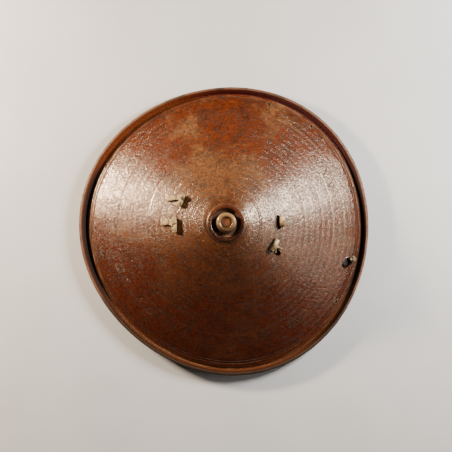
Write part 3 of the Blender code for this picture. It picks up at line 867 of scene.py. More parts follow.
@dataclass(frozen=True)
class Stroke:
    """One cut of the tool in the face, seen in the flat plan of the round form."""
    start: Vector
    end: Vector
    width: float
    depth: float

    @property
    def taper(self) -> float:
        """How far from each end the cut reaches its full width."""
        return min((self.end - self.start).length / 2, 1.6 * self.width)

    def outline(self) -> Outline:
        """Returns the cut's points, deep ones last, and the edges between them.

        Returns:
            The points, and the edges as pairs of their numbers.
        """
        along = (self.end - self.start).normalized()
        side = Vector((-along.y, along.x)) * self.width / 2
        first = self.start + along * self.taper
        last = self.end - along * self.taper
        if (last - first).length < self.width / 2:
            middle = (self.start + self.end) / 2
            points = [self.start, middle + side, self.end, middle - side, middle]
            return points, [(0, 1), (1, 2), (2, 3), (3, 0), (0, 4), (4, 2)]
        points = [self.start, first + side, last + side, self.end, last - side, first - side, first, last]
        return points, [(0, 1), (1, 2), (2, 3), (3, 4), (4, 5), (5, 0), (0, 6), (6, 7), (7, 3)]

    def depth_at(self, point: Vector) -> float:
        """Returns how deep the cut is at a flat point, or 0 outside it.

        Args:
            point: a point of the round form.

        Returns:
            The depth.
        """
        along = (self.end - self.start).normalized()
        offset = point - self.start
        run = offset.dot(along)
        aside = abs(offset.x * -along.y + offset.y * along.x)
        length = (self.end - self.start).length
        share = min(1.0, run / self.taper, (length - run) / self.taper)
        return max(0.0, self.depth * (share - 2 * aside / self.width))


@dataclass(frozen=True)
class LineRing:
    """One tooled line all round the shield."""
    radius: float
    width: float
    depth: float
    sides: int

    def depth_at(self, radius: float) -> float:
        """Returns how deep the line is at a radius, or 0 beside it."""
        return max(0.0, self.depth * (1 - 2 * abs(radius - self.radius) / self.width))


@dataclass(frozen=True)
class DashRings:
    """Rings of short cuts between two radii."""
    inner: float
    outer: float
    rows: int
    pitch: float            # from one cut to the next, along the ring
    length: float
    width: float
    depth: float
    lean: float             # degrees out of the ring's direction, turned over on every second row
    scatter: float          # unevenness of the places, as a share of the pitch
    kept: float             # share of the cuts that haven't worn away

    def strokes(self, dice: random.Random) -> list[Stroke]:
        """Returns the cuts, each a little off its place.

        Args:
            dice: the source of chance.

        Returns:
            The cuts.
        """
        cuts = []
        rise = (self.outer - self.inner) / self.rows
        for row in range(self.rows):
            radius = self.inner + rise * (row + 0.5)
            count = round(tau * radius / self.pitch)
            lean = self.lean if row % 2 else -self.lean
            for k in range(count):
                turn = tau * (k + 0.5 * (row % 2) + self.scatter * dice.uniform(-0.5, 0.5)) / count
                here = radius + rise * self.scatter * dice.uniform(-0.35, 0.35)
                way = turn + pi / 2 + radians(lean + 14 * self.scatter * dice.gauss(0, 1))
                length = self.length * dice.uniform(0.75, 1.1)
                deep = self.depth * dice.uniform(0.5, 1.1)
                if dice.random() < self.kept:
                    half = polar(length / 2, way)
                    middle = polar(here, turn)
                    cuts.append(Stroke(middle - half, middle + half, self.width * dice.uniform(0.8, 1.1), deep))
        return cuts


@dataclass(frozen=True)
class ToothRing:
    """A ring of triangles, each filled with cuts side by side."""
    count: int
    base: float
    tip: float
    hatches: int
    width: float
    depth: float
    kept: float

    def strokes(self, dice: random.Random) -> list[Stroke]:
        """Returns the two sides and the filling of every triangle.

        Args:
            dice: the source of chance.

        Returns:
            The cuts.
        """
        cuts = []
        half = pi / self.count
        for k in range(self.count):
            turn = tau * k / self.count + dice.uniform(-0.05, 0.05) * half
            left = polar(self.base, turn - half * 0.96)
            right = polar(self.base, turn + half * 0.96)
            tip = polar(self.tip * dice.uniform(0.994, 1.006), turn + dice.uniform(-0.1, 0.1) * half)
            faded = dice.uniform(0.45, 1.0)
            for n in range(self.hatches + 2):
                share = n / (self.hatches + 1)
                start = left.lerp(right, share)
                end = tip.lerp(right, share)
                if n == self.hatches + 1:
                    start, end = right, tip
                reach = dice.uniform(0.88, 1.0)
                deep = self.depth * faded * dice.uniform(0.7, 1.1)
                if (end - start).length > 2.5 * self.width and dice.random() < self.kept:
                    cuts.append(Stroke(start, start.lerp(end, reach), self.width, deep))
        return cuts


@dataclass
class Tooling:
    """All that the tool has cut into the face, and how deep it went at any point."""
    seed: int = 11
    cell: float = 0.004
    lines: tuple[LineRing, ...] = (
        LineRing(0.0668, 0.0015, 0.00032, 150),
        LineRing(0.0702, 0.0015, 0.00030, 150),
        LineRing(0.1605, 0.0016, 0.00020, 240),
        LineRing(0.1972, 0.0015, 0.00016, 260),
        LineRing(0.2200, 0.0016, 0.00020, 280),
        LineRing(0.2456, 0.0015, 0.00014, 300),
        LineRing(FORM.edge - 0.0110, 0.0019, 0.00065, 320),
        LineRing(FORM.edge - 0.0062, 0.0019, 0.00065, 320),
    )
    rings: tuple[DashRings | ToothRing, ...] = (
        DashRings(0.0480, 0.0660, 1, 0.0142, 0.0150, 0.0020, 0.00040, 72.0, 0.25, 1.0),
        DashRings(0.0490, 0.0640, 4, 0.0062, 0.0056, 0.0016, 0.00016, 8.0, 0.9, 0.8),
        DashRings(0.0715, 0.1010, 9, 0.0070, 0.0068, 0.0020, 0.00020, 9.0, 0.8, 0.9),
        DashRings(0.1010, 0.1370, 8, 0.0052, 0.0060, 0.0020, 0.00020, 38.0, 0.8, 0.9),
        ToothRing(34, 0.1565, 0.1395, 4, 0.0018, 0.00026, 0.92),
        DashRings(0.1370, 0.1560, 4, 0.0068, 0.0048, 0.0017, 0.00016, 24.0, 1.0, 0.55),
        DashRings(0.1620, 0.1860, 6, 0.0046, 0.0052, 0.0019, 0.00020, 42.0, 0.7, 0.9),
        DashRings(0.1865, 0.1965, 2, 0.0036, 0.0062, 0.0018, 0.00024, 52.0, 0.35, 0.97),
        DashRings(0.1982, 0.2192, 5, 0.0047, 0.0052, 0.0019, 0.00020, 40.0, 0.7, 0.9),
        ToothRing(52, 0.2440, 0.2222, 6, 0.0018, 0.00030, 0.94),
        DashRings(0.2470, 0.2715, 6, 0.0060, 0.0046, 0.0017, 0.00015, 30.0, 1.0, 0.72),
    )
    cuts: list[Stroke] = field(default_factory=list)
    near: dict[tuple[int, int], list[Stroke]] = field(default_factory=dict)

    def draw(self) -> None:
        """Lays every cut out and sorts the cuts by where they are."""
        dice = random.Random(self.seed)
        for ring in self.rings:
            self.cuts += ring.strokes(dice)
        for cut in self.cuts:
            half = cut.width / 2
            spans = [range(self.column(min(ends) - half), self.column(max(ends) + half) + 1)
                     for ends in zip(cut.start, cut.end)]
            for cell in product(*spans):
                self.near.setdefault(cell, []).append(cut)

    def column(self, place: float) -> int:
        """Returns the number of the cell that a coordinate is in."""
        return math.floor(place / self.cell)

    def depth_at(self, point: Vector) -> float:
        """Returns how deep the face is cut at a flat point of the round form.

        Args:
            point: a point of the round form.

        Returns:
            The depth.
        """
        radius = point.length
        deepest = max(line.depth_at(radius) for line in self.lines)
        for cut in self.near.get((self.column(point.x), self.column(point.y)), ()):
            deepest = max(deepest, cut.depth_at(point))
        return deepest


@dataclass
class FaceBand:
    """The tooled face between the boss and the rim, as one net of triangles that follows every cut."""
    inner: float
    outer: float
    inner_sides: int
    outer_sides: int
    tooling: Tooling
    openings: Sequence["Opening"]
    spacing: float = 0.0068

    @staticmethod
    def closed(ring: list[Vector]) -> Outline:
        """Returns a ring's points and the edges that close it."""
        return ring, [(k, (k + 1) % len(ring)) for k in range(len(ring))]

    def filling(self) -> list[Vector]:
        """Returns evenly spread points, for the plain hide between the cuts.

        Returns:
            The points.
        """
        points = []
        radius = self.inner + self.spacing
        while radius < self.outer - self.spacing / 2:
            sides = round(tau * radius / self.spacing)
            offset = 0.5 if len(points) % 2 else 0.0
            points.extend(ring_points(radius, sides, offset))
            radius += self.spacing * 0.87
        return points

    def build(self) -> Piece:
        """Nets the points and edges of every cut, and sets each point to its depth.

        Returns:
            The open band, in the round form.
        """
        rings = [ring_points(self.inner, self.inner_sides), ring_points(self.outer, self.outer_sides)]
        rings += [ring_points(line.radius + offset * line.width, line.sides)
                  for line in self.tooling.lines for offset in (-0.5, 0.0, 0.5)]
        shapes = [self.closed(ring) for ring in rings]
        shapes += [cut.outline() for cut in self.tooling.cuts]
        shapes += [self.closed(ring) for opening in self.openings for ring in opening.rings()]
        points: list[Vector] = []
        edges: list[tuple[int, int]] = []
        for outline, links in shapes:
            first = len(points)
            points.extend(outline)
            edges.extend((first + a, first + b) for a, b in links)
        points.extend(self.filling())
        flat, _, faces, _, _, _ = delaunay_2d_cdt(points, edges, [], 0, 1e-7, False)
        heights = [FORM.flank(p.length) - self.tooling.depth_at(p) for p in flat]
        kept = [face for face in faces if any(flat[i].length > self.inner + 1e-6 for i in face)]
        mesh = bpy.data.meshes.new("face_band")
        mesh.from_pydata([(p.x, p.y, height) for p, height in zip(flat, heights)], [], kept)
        return put("face_band", mesh)


@dataclass(frozen=True)
class Opening:
    """A hole or slot through the hide, its middle at a real place about the boss's axis."""
    x: float
    y: float
    length: float
    width: float
    turn: float | None = None       # degrees from +X; None lays it square to the radius
    worn: float = 0.0035            # how far the wear round it reaches
    lift: float = 0.0004            # how far its edge has been pulled out
    sides: int = 20
    undercut: float = 0.0           # how much wider the hole is at its far end

    def frame(self) -> Matrix:
        """Returns a frame on the round form's face, its X along the opening.

        Returns:
            The frame.
        """
        here = FORM.rounded(self.x, self.y)
        turn = pi / 2
        if self.turn is not None:
            turn = radians(self.turn) - atan2(self.y, self.x)
        return FORM.round_frame(here) @ turned(turn)

    def rings(self) -> list[list[Vector]]:
        """Returns flat rings round the opening, the first one just outside its edge.

        Returns:
            Three rings of points.
        """
        frame_here = self.frame()
        found = []
        for away in (0.0004, 0.0013, 0.0028):
            long, wide = self.length / 2 + away, self.width / 2 + away
            found.append([(frame_here @ Vector((long * p.x, wide * p.y, 0))).xy
                          for p in ring_points(1.0, self.sides, 0.5)])
        return found

    def near(self, point: Vector, reach: float = 0.030) -> bool:
        """Tells whether a point is so near the opening that its edge can matter."""
        return (point.xy - Vector((self.x, self.y))).length < reach

    def distance(self, point: Vector) -> float:
        """Returns about how far a point of the round form is outside the opening's edge.

        Args:
            point: a point of the round form.

        Returns:
            The distance, below 0 inside it.
        """
        local = self.frame().inverted() @ point
        share = hypot(2 * local.x / self.length, 2 * local.y / self.width)
        return (share - 1) / max(share, 1e-6) * hypot(local.x, local.y)

    def post(self, name: str) -> Piece:
        """Returns an upright post that cuts the opening.

        Args:
            name: the post's name.

        Returns:
            The post.
        """
        Bench.clear()
        bpy.ops.mesh.primitive_cylinder_add(vertices=self.sides, radius=0.5, depth=1.0)
        made = bpy.context.object
        made.name = name
        Bench.edit(made)
        bpy.ops.transform.resize(value=(self.length, self.width, 6 * FORM.thickness))
        bpy.ops.transform.translate(value=(0, 0, -1.4 * FORM.thickness))
        mesh = bmesh.from_edit_mesh(made.data)
        for vert in mesh.verts:
            if vert.co.z < 0:
                vert.co.xy *= 1 + 2 * self.undercut / vert.co.xy.length
        bmesh.update_edit_mesh(made.data)
        bpy.ops.object.mode_set(mode="OBJECT")
        made.data.transform(self.frame())
        return made


@dataclass
class Hide:
    """The shield itself: boss, tooled cone, gutter, lip and back, all one piece of hide."""
    skin: bpy.types.Material
    openings: Sequence[Opening]
    boss_steps: int = 120
    rim_steps: int = 360
    back_steps: int = 120
    seam_radius: float = 0.0466     # where the turned boss meets the tooled face
    face_end: float = FORM.edge - 0.0014    # where the tooled face meets the turned rim
    line_radii: tuple[float, ...] = (0.0410, 0.0445)
    line_width: float = 0.0020
    line_depth: float = 0.0008
    nick: float = 0.0006            # unevenness of the cut edge
    full_cut: float = 0.0003        # a cut this deep is at its darkest
    shallow: float = 0.75           # how much of the gutter's depth is missing at the diagonals
    tooling: Tooling = field(default_factory=Tooling)

    def boss_profile(self) -> Profile:
        """Returns the turned profile of the boss and its two lines, from the dimple outwards.

        Returns:
            Radius and height of each point.
        """
        crown = (FORM.dimple_radius + FORM.knob_radius) / 2
        half = (FORM.knob_radius - FORM.dimple_radius) / 2
        bowl = FORM.knob_top - FORM.dimple_depth
        points = [(FORM.dimple_radius * share, bowl - 0.0004 * (1 - share ** 2) + 0.0002 * share ** 8)
                  for share in (0, 0.2, 0.4, 0.6, 0.75, 0.88, 0.96)]
        points += self.arc((crown, bowl), half, FORM.dimple_depth, 180, 90, 8)
        points += self.arc((crown, FORM.knob_top - FORM.knob_shoulder), half, FORM.knob_shoulder, 90, 0, 9)[1:]
        trough = FORM.knob_radius + FORM.groove_width / 2
        drop = FORM.groove_depth / 3
        points += self.arc((trough, FORM.groove_floor + drop), FORM.groove_width / 2, drop, 180, 360, 12)
        crest = FORM.foot - FORM.ridge_width / 2
        points += self.arc((crest, FORM.foot_height), FORM.ridge_width / 2, FORM.ridge_stand, 180, 0, 12)
        for middle in self.line_radii:
            for offset in (-0.5, -0.12, 0.12, 0.5):
                radius = middle + offset * self.line_width
                points.append((radius, FORM.flank(radius) - self.line_depth * (abs(offset) < 0.3)))
        return points + [(self.seam_radius, FORM.flank(self.seam_radius))]

    @staticmethod
    def arc(middle: tuple[float, float], half_width: float, half_height: float, start: float, end: float,
            steps: int) -> Profile:
        """Returns points of an ellipse in the profile, as radius and height, from one angle to another."""
        turns = [radians(start + (end - start) * k / steps) for k in range(steps + 1)]
        return [(middle[0] + half_width * cos(t), middle[1] + half_height * sin(t)) for t in turns]

    def rim_profile(self) -> Profile:
        """Returns the turned profile from the cone's edge over gutter, lip and cut edge to the ring it lies on.

        Returns:
            Radius and height of each point.
        """
        width, floor = FORM.gutter_width, FORM.thickness
        out = Vector((cos(FORM.flare), -sin(FORM.flare)))
        up = Vector((sin(FORM.flare), cos(FORM.flare)))
        inner = Vector((FORM.lip_inner, FORM.lip_height))
        outer = Vector((FORM.rim_radius, FORM.lip_outer_height))
        points = [(self.face_end, FORM.flank(self.face_end)), (FORM.edge - 0.0006, FORM.edge_height + 0.0001),
                  (FORM.edge - 0.0001, FORM.edge_height - 0.0004)]
        points += [(FORM.edge + out_share * width, floor + up_share * FORM.gutter_depth)
                   for out_share, up_share in ((0.15, 0.80), (0.40, 0.56), (0.55, 0.26))]
        points += [(FORM.lip_foot - 0.34 * width, floor + 0.0003), (FORM.lip_foot - 0.1 * width, floor + 0.0004),
                   (FORM.lip_foot + 0.1 * width, floor + 0.09 * FORM.lip_rise)]
        foot = Vector(points[-1])
        points += [tuple(foot.lerp(inner, share) - out * 0.0006 * sin(pi * share))
                   for share in (0.16, 0.36, 0.58, 0.78, 0.90)]
        for along, down in ((0.02, 0.00055), (0.07, 0.00015), (0.20, 0.0), (0.42, -0.0001), (0.62, -0.0001),
                            (0.82, 0.0), (0.94, 0.00015), (0.985, 0.0006)):
            points.append(tuple(inner.lerp(outer, along) - up * down))
        low = Vector((FORM.land_outer + 0.1 * FORM.land_width, 0.1 * floor))
        points += [tuple(outer.lerp(low, share)) for share in (0.12, 0.30, 0.50, 0.70, 0.86, 0.95)]
        points += [tuple(low), (FORM.land_outer - 0.1 * FORM.land_width, 0.0), (FORM.land_outer - FORM.land_width, 0.0)]
        return points

    def back_profile(self) -> Profile:
        """Returns the turned profile of the flesh side, from near the rim to the hollow of the boss.

        Returns:
            Radius and height of each point.
        """
        first, last = FORM.edge - FORM.thickness / 2, FORM.foot + FORM.thickness
        hollow, floor = FORM.knob_radius - FORM.thickness, FORM.hollow_floor
        top = FORM.knob_top - FORM.dimple_depth - FORM.thickness
        radii = [first + (last - first) * k / 14 for k in range(15)]
        points = [(radius, FORM.flank(radius) - FORM.drop) for radius in radii]
        points += [(hollow + share * FORM.thickness, floor + rise) for share, rise in (
            (1.7, -0.0012), (0.7, -0.0001), (0.35, 0.0004), (0.1, 0.0014), (0.0, 0.0030))]
        points.append((hollow * 0.97, floor + 0.0090))
        points += [(hollow * share, top - drop) for share, drop in (
            (0.92, 0.0026), (0.80, 0.0008), (0.60, 0.0), (0.30, 0.0), (0.0, 0.0))]
        return points

    def build(self) -> None:
        """Turns, tools, joins, pierces and lays out the hide."""
        self.tooling.draw()
        boss = Bench.lathe("tooled_shield_hide", self.boss_profile(), self.boss_steps)
        band = FaceBand(self.seam_radius, self.face_end, self.boss_steps, self.rim_steps, self.tooling,
                        self.openings).build()
        rim = Bench.lathe("rim", self.rim_profile(), self.rim_steps)
        back = Bench.lathe("back", self.back_profile(), self.back_steps)
        self.bridge(rim, back)
        piece = Bench.join([boss, band, rim], boss.name)
        Bench.close(piece, 2e-6)
        posts = [opening.post(f"opening_{n}") for n, opening in enumerate(self.openings)]
        Bench.cut(piece, Bench.join(posts, "openings"))
        self.mark(piece)
        move_points(piece, self.lay_out)
        Bench.smooth(piece, 27)
        Bench.finish(piece, "hide", Slot.HIDE, self.skin)

    def bridge(self, rim: Piece, back: Piece) -> None:
        """Joins the flesh side to the rim and closes the strip between them.

        Args:
            rim: the turned rim, which takes the back in.
            back: the turned flesh side.
        """
        Bench.join([rim, back], "rim")
        Bench.edit(rim)
        bpy.ops.mesh.select_all(action="DESELECT")
        mesh = bmesh.from_edit_mesh(rim.data)
        seams = FORM.land_outer - FORM.land_width, FORM.edge - FORM.thickness / 2
        for edge in mesh.edges:
            edge.select_set(edge.is_boundary and all(
                vert.co.z < FORM.edge_height * 0.9 and min(abs(vert.co.xy.length - seam) for seam in seams) < 1e-5
                for vert in edge.verts))
        bmesh.update_edit_mesh(rim.data)
        bpy.ops.mesh.bridge_edge_loops()
        bpy.ops.object.mode_set(mode="OBJECT")

    def is_face(self, point: Vector) -> bool:
        """Tells whether a point of the round form is on the tooled face."""
        radius = point.xy.length
        return radius < FORM.edge and point.z > FORM.flank(max(radius, FORM.foot)) - 0.45 * FORM.thickness

    def mark(self, piece: Piece) -> None:
        """Marks what each point of the round form is: cut, lip, cut edge, flesh side, worn, or darkened by painted
        shade.

        Args:
            piece: the hide, still in the round form.
        """
        shares = {Mark.CUT: self.cut_share, Mark.LIP: self.lip_share, Mark.EDGE: self.edge_share,
                  Mark.BACK: self.back_share, Mark.WORN: self.worn_share, Mark.SOIL: self.soil_and_shade_share}
        for mark, share in shares.items():
            mark_points(piece, mark, share)

    def cut_share(self, point: Vector) -> float:
        """Returns how deep the face is cut, 1 at full depth."""
        return self.tooling.depth_at(point.xy) / self.full_cut if self.is_face(point) else 0.0

    def edge_share(self, point: Vector) -> float:
        """Returns 1 on the cut edge of the lip.

        Args:
            point: a point of the round form.

        Returns:
            1 or 0.
        """
        radius = point.xy.length
        height = FORM.lip_height - (radius - FORM.lip_inner) * tan(FORM.flare)
        return float(radius > FORM.lip_inner - 0.0002 and abs(point.z - height) < 0.0012)

    def back_share(self, point: Vector) -> float:
        """Returns 1 on the flesh side and the outside of the rim.

        Args:
            point: a point of the round form.

        Returns:
            1 or 0.
        """
        radius = point.xy.length
        if radius > FORM.edge:
            over = (radius - FORM.land_outer) / tan(FORM.flare) if radius > FORM.land_outer else 0.0
            outside = point.z < over + 0.3 * FORM.thickness and point.z < FORM.lip_outer_height - 0.0004
            return float(outside and (radius > FORM.lip_foot + 0.001 or point.z < 0.6 * FORM.thickness))
        return float(not self.is_face(point) and (radius < FORM.foot or point.z < FORM.flank(radius) - 0.004))

    def lip_share(self, point: Vector) -> float:
        """Returns 1 in the gutter and on the inside of the lip."""
        return float(point.xy.length > FORM.edge - 0.0003 and point.z > 0.7 * FORM.thickness)

    def worn_share(self, point: Vector) -> float:
        """Returns 1 at the rubbed edges of the openings, falling to 0 beside them.

        Args:
            point: a point of the round form.

        Returns:
            The share.
        """
        if not self.is_face(point):
            return 0.0
        share = 0.0
        for opening in self.openings:
            if opening.near(point, 0.035):
                share = max(share, 1 - opening.distance(point) / opening.worn)
        return share

    def soil_and_shade_share(self, point: Vector) -> float:
        """Returns the painted shade: in the boss's groove, least on its upper side, at the edges of the openings, and
        in the gutter, most on its left and right sides.

        Args:
            point: a point of the round form.

        Returns:
            The share.
        """
        radius = point.xy.length
        turn = degrees(atan2(point.y, point.x)) % 360
        if radius < FORM.foot and point.z > FORM.foot_height - 0.010:
            # Painted shade in the groove, least on its upper side.
            open_side = 1 - even_rise((abs(turn - 90) - 25) / 45)
            return (1 - 0.85 * open_side) * even_rise((FORM.ridge_top - point.z - 0.0008) / (0.6 * FORM.groove_depth))
        # Painted shade at the edges of the openings.
        if self.is_face(point) and any(opening.near(point) and abs(opening.distance(point)) < 0.0002
                                       for opening in self.openings):
            return 1.0
        if radius > FORM.edge - 0.0003 and point.z > 0.7 * FORM.thickness:
            # Painted shade in the gutter, most on its left and right sides and a little all round, fading up the lip.
            side = max(1 - even_rise((abs(turn - 182) - 14) / 24), 1 - even_rise((min(turn, 360 - turn) - 12) / 30))
            return (0.10 + 0.90 * side) * (1 - even_rise((point.z - FORM.thickness - 0.006) / (0.8 * FORM.lip_rise)))
        return 0.0

    def lay_out(self, point: Vector) -> Vector:
        """Moves a point of the round form to its real place, with waves, nicks and pulled edges.

        Args:
            point: a point of the round form.

        Returns:
            Its place in the frame.
        """
        placed = point.copy()
        if self.is_face(point):
            for opening in self.openings:
                if opening.near(point):
                    share = 1 - opening.distance(point) / (1.3 * opening.worn)
                    placed.z += opening.lift * even_rise(share)
        if self.edge_share(point) > 0:
            way = Vector((point.x, point.y, 0)) * 60
            rough = noise.noise(way) * 0.6 + noise.noise(way * 2.7) * 0.4
            placed.z += self.nick * rough
            placed.xy *= 1 + self.nick * 0.5 * rough / FORM.rim_radius
        if FORM.edge < point.xy.length < FORM.lip_inner and FORM.thickness < point.z < FORM.edge_height:
            diagonal = sin(2 * atan2(point.y, point.x)) ** 2
            placed.z += self.shallow * diagonal * (FORM.edge_height - point.z)
        return FORM.waved(FORM.bent(placed)) + AXIS


@dataclass(frozen=True)
class Press:
    """A crease or a swelling along a line in a knot's plan, in millimetres from the knot's middle."""
    start: tuple[float, float]
    end: tuple[float, float]
    reach: float        # how far beside the line it is felt
    gain: float         # share of the height that it adds; a crease takes away

    def at(self, x: float, y: float) -> float:
        """Returns 1 on the line and 0 out of its reach, for a place in metres.

        Args:
            x: the place along the knot.
            y: the place across it.

        Returns:
            The share.
        """
        here, start, end = Vector((x, y)) * 1000, Vector(self.start), Vector(self.end)
        along = end - start
        share = max(0.0, min(1.0, (here - start).dot(along) / max(along.length_squared, 1e-9)))
        return even_rise(1 - (here - start - along * share).length / self.reach)


@dataclass(frozen=True)
class KnotForm:
    """The sizes of one thong's knot and tail, the same as the solids' own, and the folds of its rawhide."""
    name: str
    side: int
    row: int
    length: float
    width: float
    height: float
    turn: float
    shift: tuple[float, float]
    tail_length: float
    tail_width: float
    tail_turn: float
    tail_lift: float
    presses: tuple[Press, ...] = ()

    def pressed(self, x: float, y: float) -> float:
        """Returns how much higher or lower the folds make the knot at a place, as a share."""
        return sum(press.gain * press.at(x, y) for press in self.presses)

    def crease(self, x: float, y: float) -> float:
        """Returns 1 in the deepest creases."""
        return min(1.0, sum(-3.2 * press.gain * press.at(x, y) for press in self.presses if press.gain < 0))


@dataclass(frozen=True)
class GripForm:
    """The sizes of the hand grip and of its slots' places, the same as the solids' own."""
    middle: tuple[float, float] = (0.0027, 0.0055)
    turn: float = -12.3
    slot_span: float = 0.2030
    slot_spacing: float = 0.0506
    row_turn: float = 73.0
    overhang: float = 0.0180
    seat: float = 0.0220
    side_margin: float = 0.0137
    end_thickness: float = 0.0050
    bar_width: float = 0.0300
    bar_thickness: float = 0.0140
    clearance: float = 0.0360
    flare_start: float = 0.66
    flare_end: float = 1.08
    corner: float = 0.22
    wide_power: float = 0.70
    deep_power: float = 0.60
    seat_gap: float = 0.0006

    def slot_point(self, side: int, row: int) -> Vector:
        """Returns where a thong goes through the face, about the boss's axis.

        Args:
            side: -1 for the left pair, 1 for the right.
            row: -1 for the lower thong, 1 for the upper.

        Returns:
            The flat point.
        """
        along = polar(side * self.slot_span / 2, radians(self.turn))
        across = polar(row * self.slot_spacing / 2, radians(self.row_turn))
        return Vector(self.middle) + along + across


GRIP = GripForm()


@dataclass
class Strap:
    """A flat strap of rawhide that follows a line, bent or rolled up, drawn by extrusion and given a thickness."""
    name: str
    path: Sequence[Vector]
    width: float
    thickness: float = 0.0030
    steps: int = 8
    bevel: float = 0.00035

    def build(self) -> Piece:
        """Draws the line in the YZ plane, extrudes it along X and thickens it.

        Returns:
            The strap, closed, its width centred on X = 0.
        """
        made = Bench.line(self.name, [Vector((-self.width / 2, p.x, p.y)) for p in self.path])
        bpy.ops.mesh.select_all(action="SELECT")
        for _ in range(self.steps):
            step = {"value": (self.width / self.steps, 0, 0)}
            bpy.ops.mesh.extrude_region_move(TRANSFORM_OT_translate=step)
        bpy.ops.object.mode_set(mode="OBJECT")
        Bench.close(made)
        Bench.modify(made, "SOLIDIFY", thickness=self.thickness, offset=0.0, use_even_offset=True)
        Bench.modify(made, "BEVEL", width=self.bevel, segments=2, limit_method="ANGLE", angle_limit=radians(50))
        return made


@dataclass
class Thong:
    """A rawhide thong: its knot and tail on the face, its neck through the slot and its knot behind the grip."""
    form: KnotForm
    skin: bpy.types.Material
    strap: float = 0.0032
    neck_width: float = 0.0100
    back_knot: tuple[float, float, float] = (0.0240, 0.0120, 0.0085)
    stand: float = 0.0004           # how far the knot stands off the hide
    rough: float = 0.00045

    @property
    def place(self) -> Vector:
        """Where the thong goes through the face, about the boss's axis."""
        return GRIP.slot_point(self.form.side, self.form.row)

    def frame(self, turn: float | None = None) -> Matrix:
        """Returns the frame on the face at the slot, its X at a turn in degrees from +X.

        Args:
            turn: the turn, or None for away from the boss.

        Returns:
            The frame.
        """
        here = self.place
        frame_here = FORM.face_frame(here.x, here.y)
        if turn is None:
            return frame_here
        return frame_here @ turned(radians(turn) - atan2(here.y, here.x))

    def beside(self, right: float, up: float) -> Vector:
        """Returns the place about the boss's axis of a point on the face beside the slot."""
        return (self.frame(0) @ Vector((right, up, 0)) - AXIS).xy

    @staticmethod
    def spiral(width: float, height: float, turns: float, strap: float, start: float,
               fineness: int) -> list[Vector]:
        """Returns the line of a strap rolled up, from the outside in.

        Args:
            width: the roll's width.
            height: the roll's height.
            turns: how often it goes round.
            strap: the strap's thickness.
            start: where its outer end is, in degrees from +Y.
            fineness: how many points one turn has.

        Returns:
            Points in the plane across the roll, its underside at 0.
        """
        points = []
        count = round(fineness * turns)
        for k in range(count + 1):
            turn = radians(start) - tau * turns * k / count
            shrink = strap * 1.06 * turns * k / count
            wide = max((width - strap) / 2 - shrink, 0.0004)
            high = max((height - strap) / 2 - shrink, 0.0004)
            points.append(Vector((wide * cos(turn), height / 2 + high * sin(turn))))
        return points

    def roll(self, name: str, length: float, width: float, height: float, turns: float,
             start: float, folds: KnotForm | None = None) -> Piece:
        """Rolls a strap up into a knot.

        Args:
            name: the piece's name.
            length: the roll's length, along X.
            width: its width.
            height: its height.
            turns: how often the strap goes round.
            start: where its outer end is, in degrees.
            folds: the knot whose creases and swellings it has.

        Returns:
            The roll, its underside at 0, pinched towards its ends.
        """
        strap = self.strap * 0.78
        fineness, steps = (46, 32) if folds else (26, 12)
        made = Strap(name, self.spiral(width, height, turns, strap, start, fineness), length, strap * 0.94,
                     steps).build()
        seed = Vector((hash_of(name), 2.0, 5.0))

        def shape(point: Vector) -> Vector:
            """Pinches the ends, telescopes the layers and roughens the surface.

            Args:
                point: a point of the plain roll.

            Returns:
                Its place in the knot.
            """
            share = 2 * point.x / length
            girth = 1 - 0.30 * abs(share) ** 3.5 - 0.10 * (1 - share ** 2) ** 2
            off = Vector((0, point.y, point.z - height / 2))
            depth = 1 - min(1.0, hypot(2 * off.y / width, 2 * off.z / height))
            bulge = noise.noise(point * 90 + seed) * self.rough * 2
            placed = Vector((point.x - share * abs(share) * 0.0022 * depth, off.y * girth,
                             height / 2 * (0.75 + 0.25 * girth) + off.z * girth)) + off.normalized() * bulge
            if folds:
                gain = folds.pressed(placed.x, placed.y)
                placed.z *= 1 + gain
                placed.y *= 1 + 0.5 * max(gain, 0.0)
            return placed

        move_points(made, shape)
        mark_points(made, Mark.EDGE, lambda p: even_rise((abs(p.x) / (length / 2) - 0.90) / 0.08) * 0.55)
        # Darker near the hide and in the creases: painted shade.
        mark_points(made, Mark.SOIL, lambda p: max(even_rise((0.0030 - p.z) / 0.0024) * 0.9,
                                                   folds.crease(p.x, p.y) if folds else 0.0))
        return made

    def tail(self, name: str, length: float, width: float, start: float, end: float, waist: float = 0.28,
             slant: float = 0.0022, fold: float = -0.01) -> Piece:
        """Makes a strap's tail along X, pinched where it leaves the knot, with a slanting cut at its end.

        Args:
            name: the piece's name.
            length: the tail's length.
            width: its width.
            start: its underside's height at the knot.
            end: its underside's height at the cut end.
            waist: how much narrower it is at its waist.
            slant: how much further the cut reaches below than above.
            fold: where along it the strap is creased, if it is.

        Returns:
            The tail.
        """
        strap = self.strap
        shares = [k / 22 for k in range(22)] + [0.975, 1.0]
        made = Strap(name, [Vector((share * length, strap / 2)) for share in shares], width, strap, 8).build()
        made.data.transform(turned(radians(-90)))
        seed = Vector((hash_of(name), 7.0, 1.0))

        def shape(point: Vector) -> Vector:
            """Waists, lifts, slants and roughens the strap.

            Args:
                point: a point of the plain strap.

            Returns:
                Its place in the tail.
            """
            share = max(0.0, min(1.0, point.x / length))
            narrow = 1 - waist * sin(pi * min(1.0, share / 0.71))
            height = start + (end - start) * even_rise(share)
            cup = 0.0011 * (2 * point.y / width) ** 2 * (1 - 0.5 * share)
            lean = slant * even_rise((share - 0.80) / 0.20) * (0.5 - point.z / strap)
            rough = noise.noise(point * 120 + seed) * self.rough * 1.5
            swollen = 0.0022 * even_rise((fold - 0.0004 - point.x) / 0.0022)
            dent = 0.0009 * even_rise(1 - abs(point.x - fold) / 0.0016)
            return Vector((point.x + lean + rough, point.y * narrow,
                           height + point.z + rough - cup * 0.6 + swollen - dent))

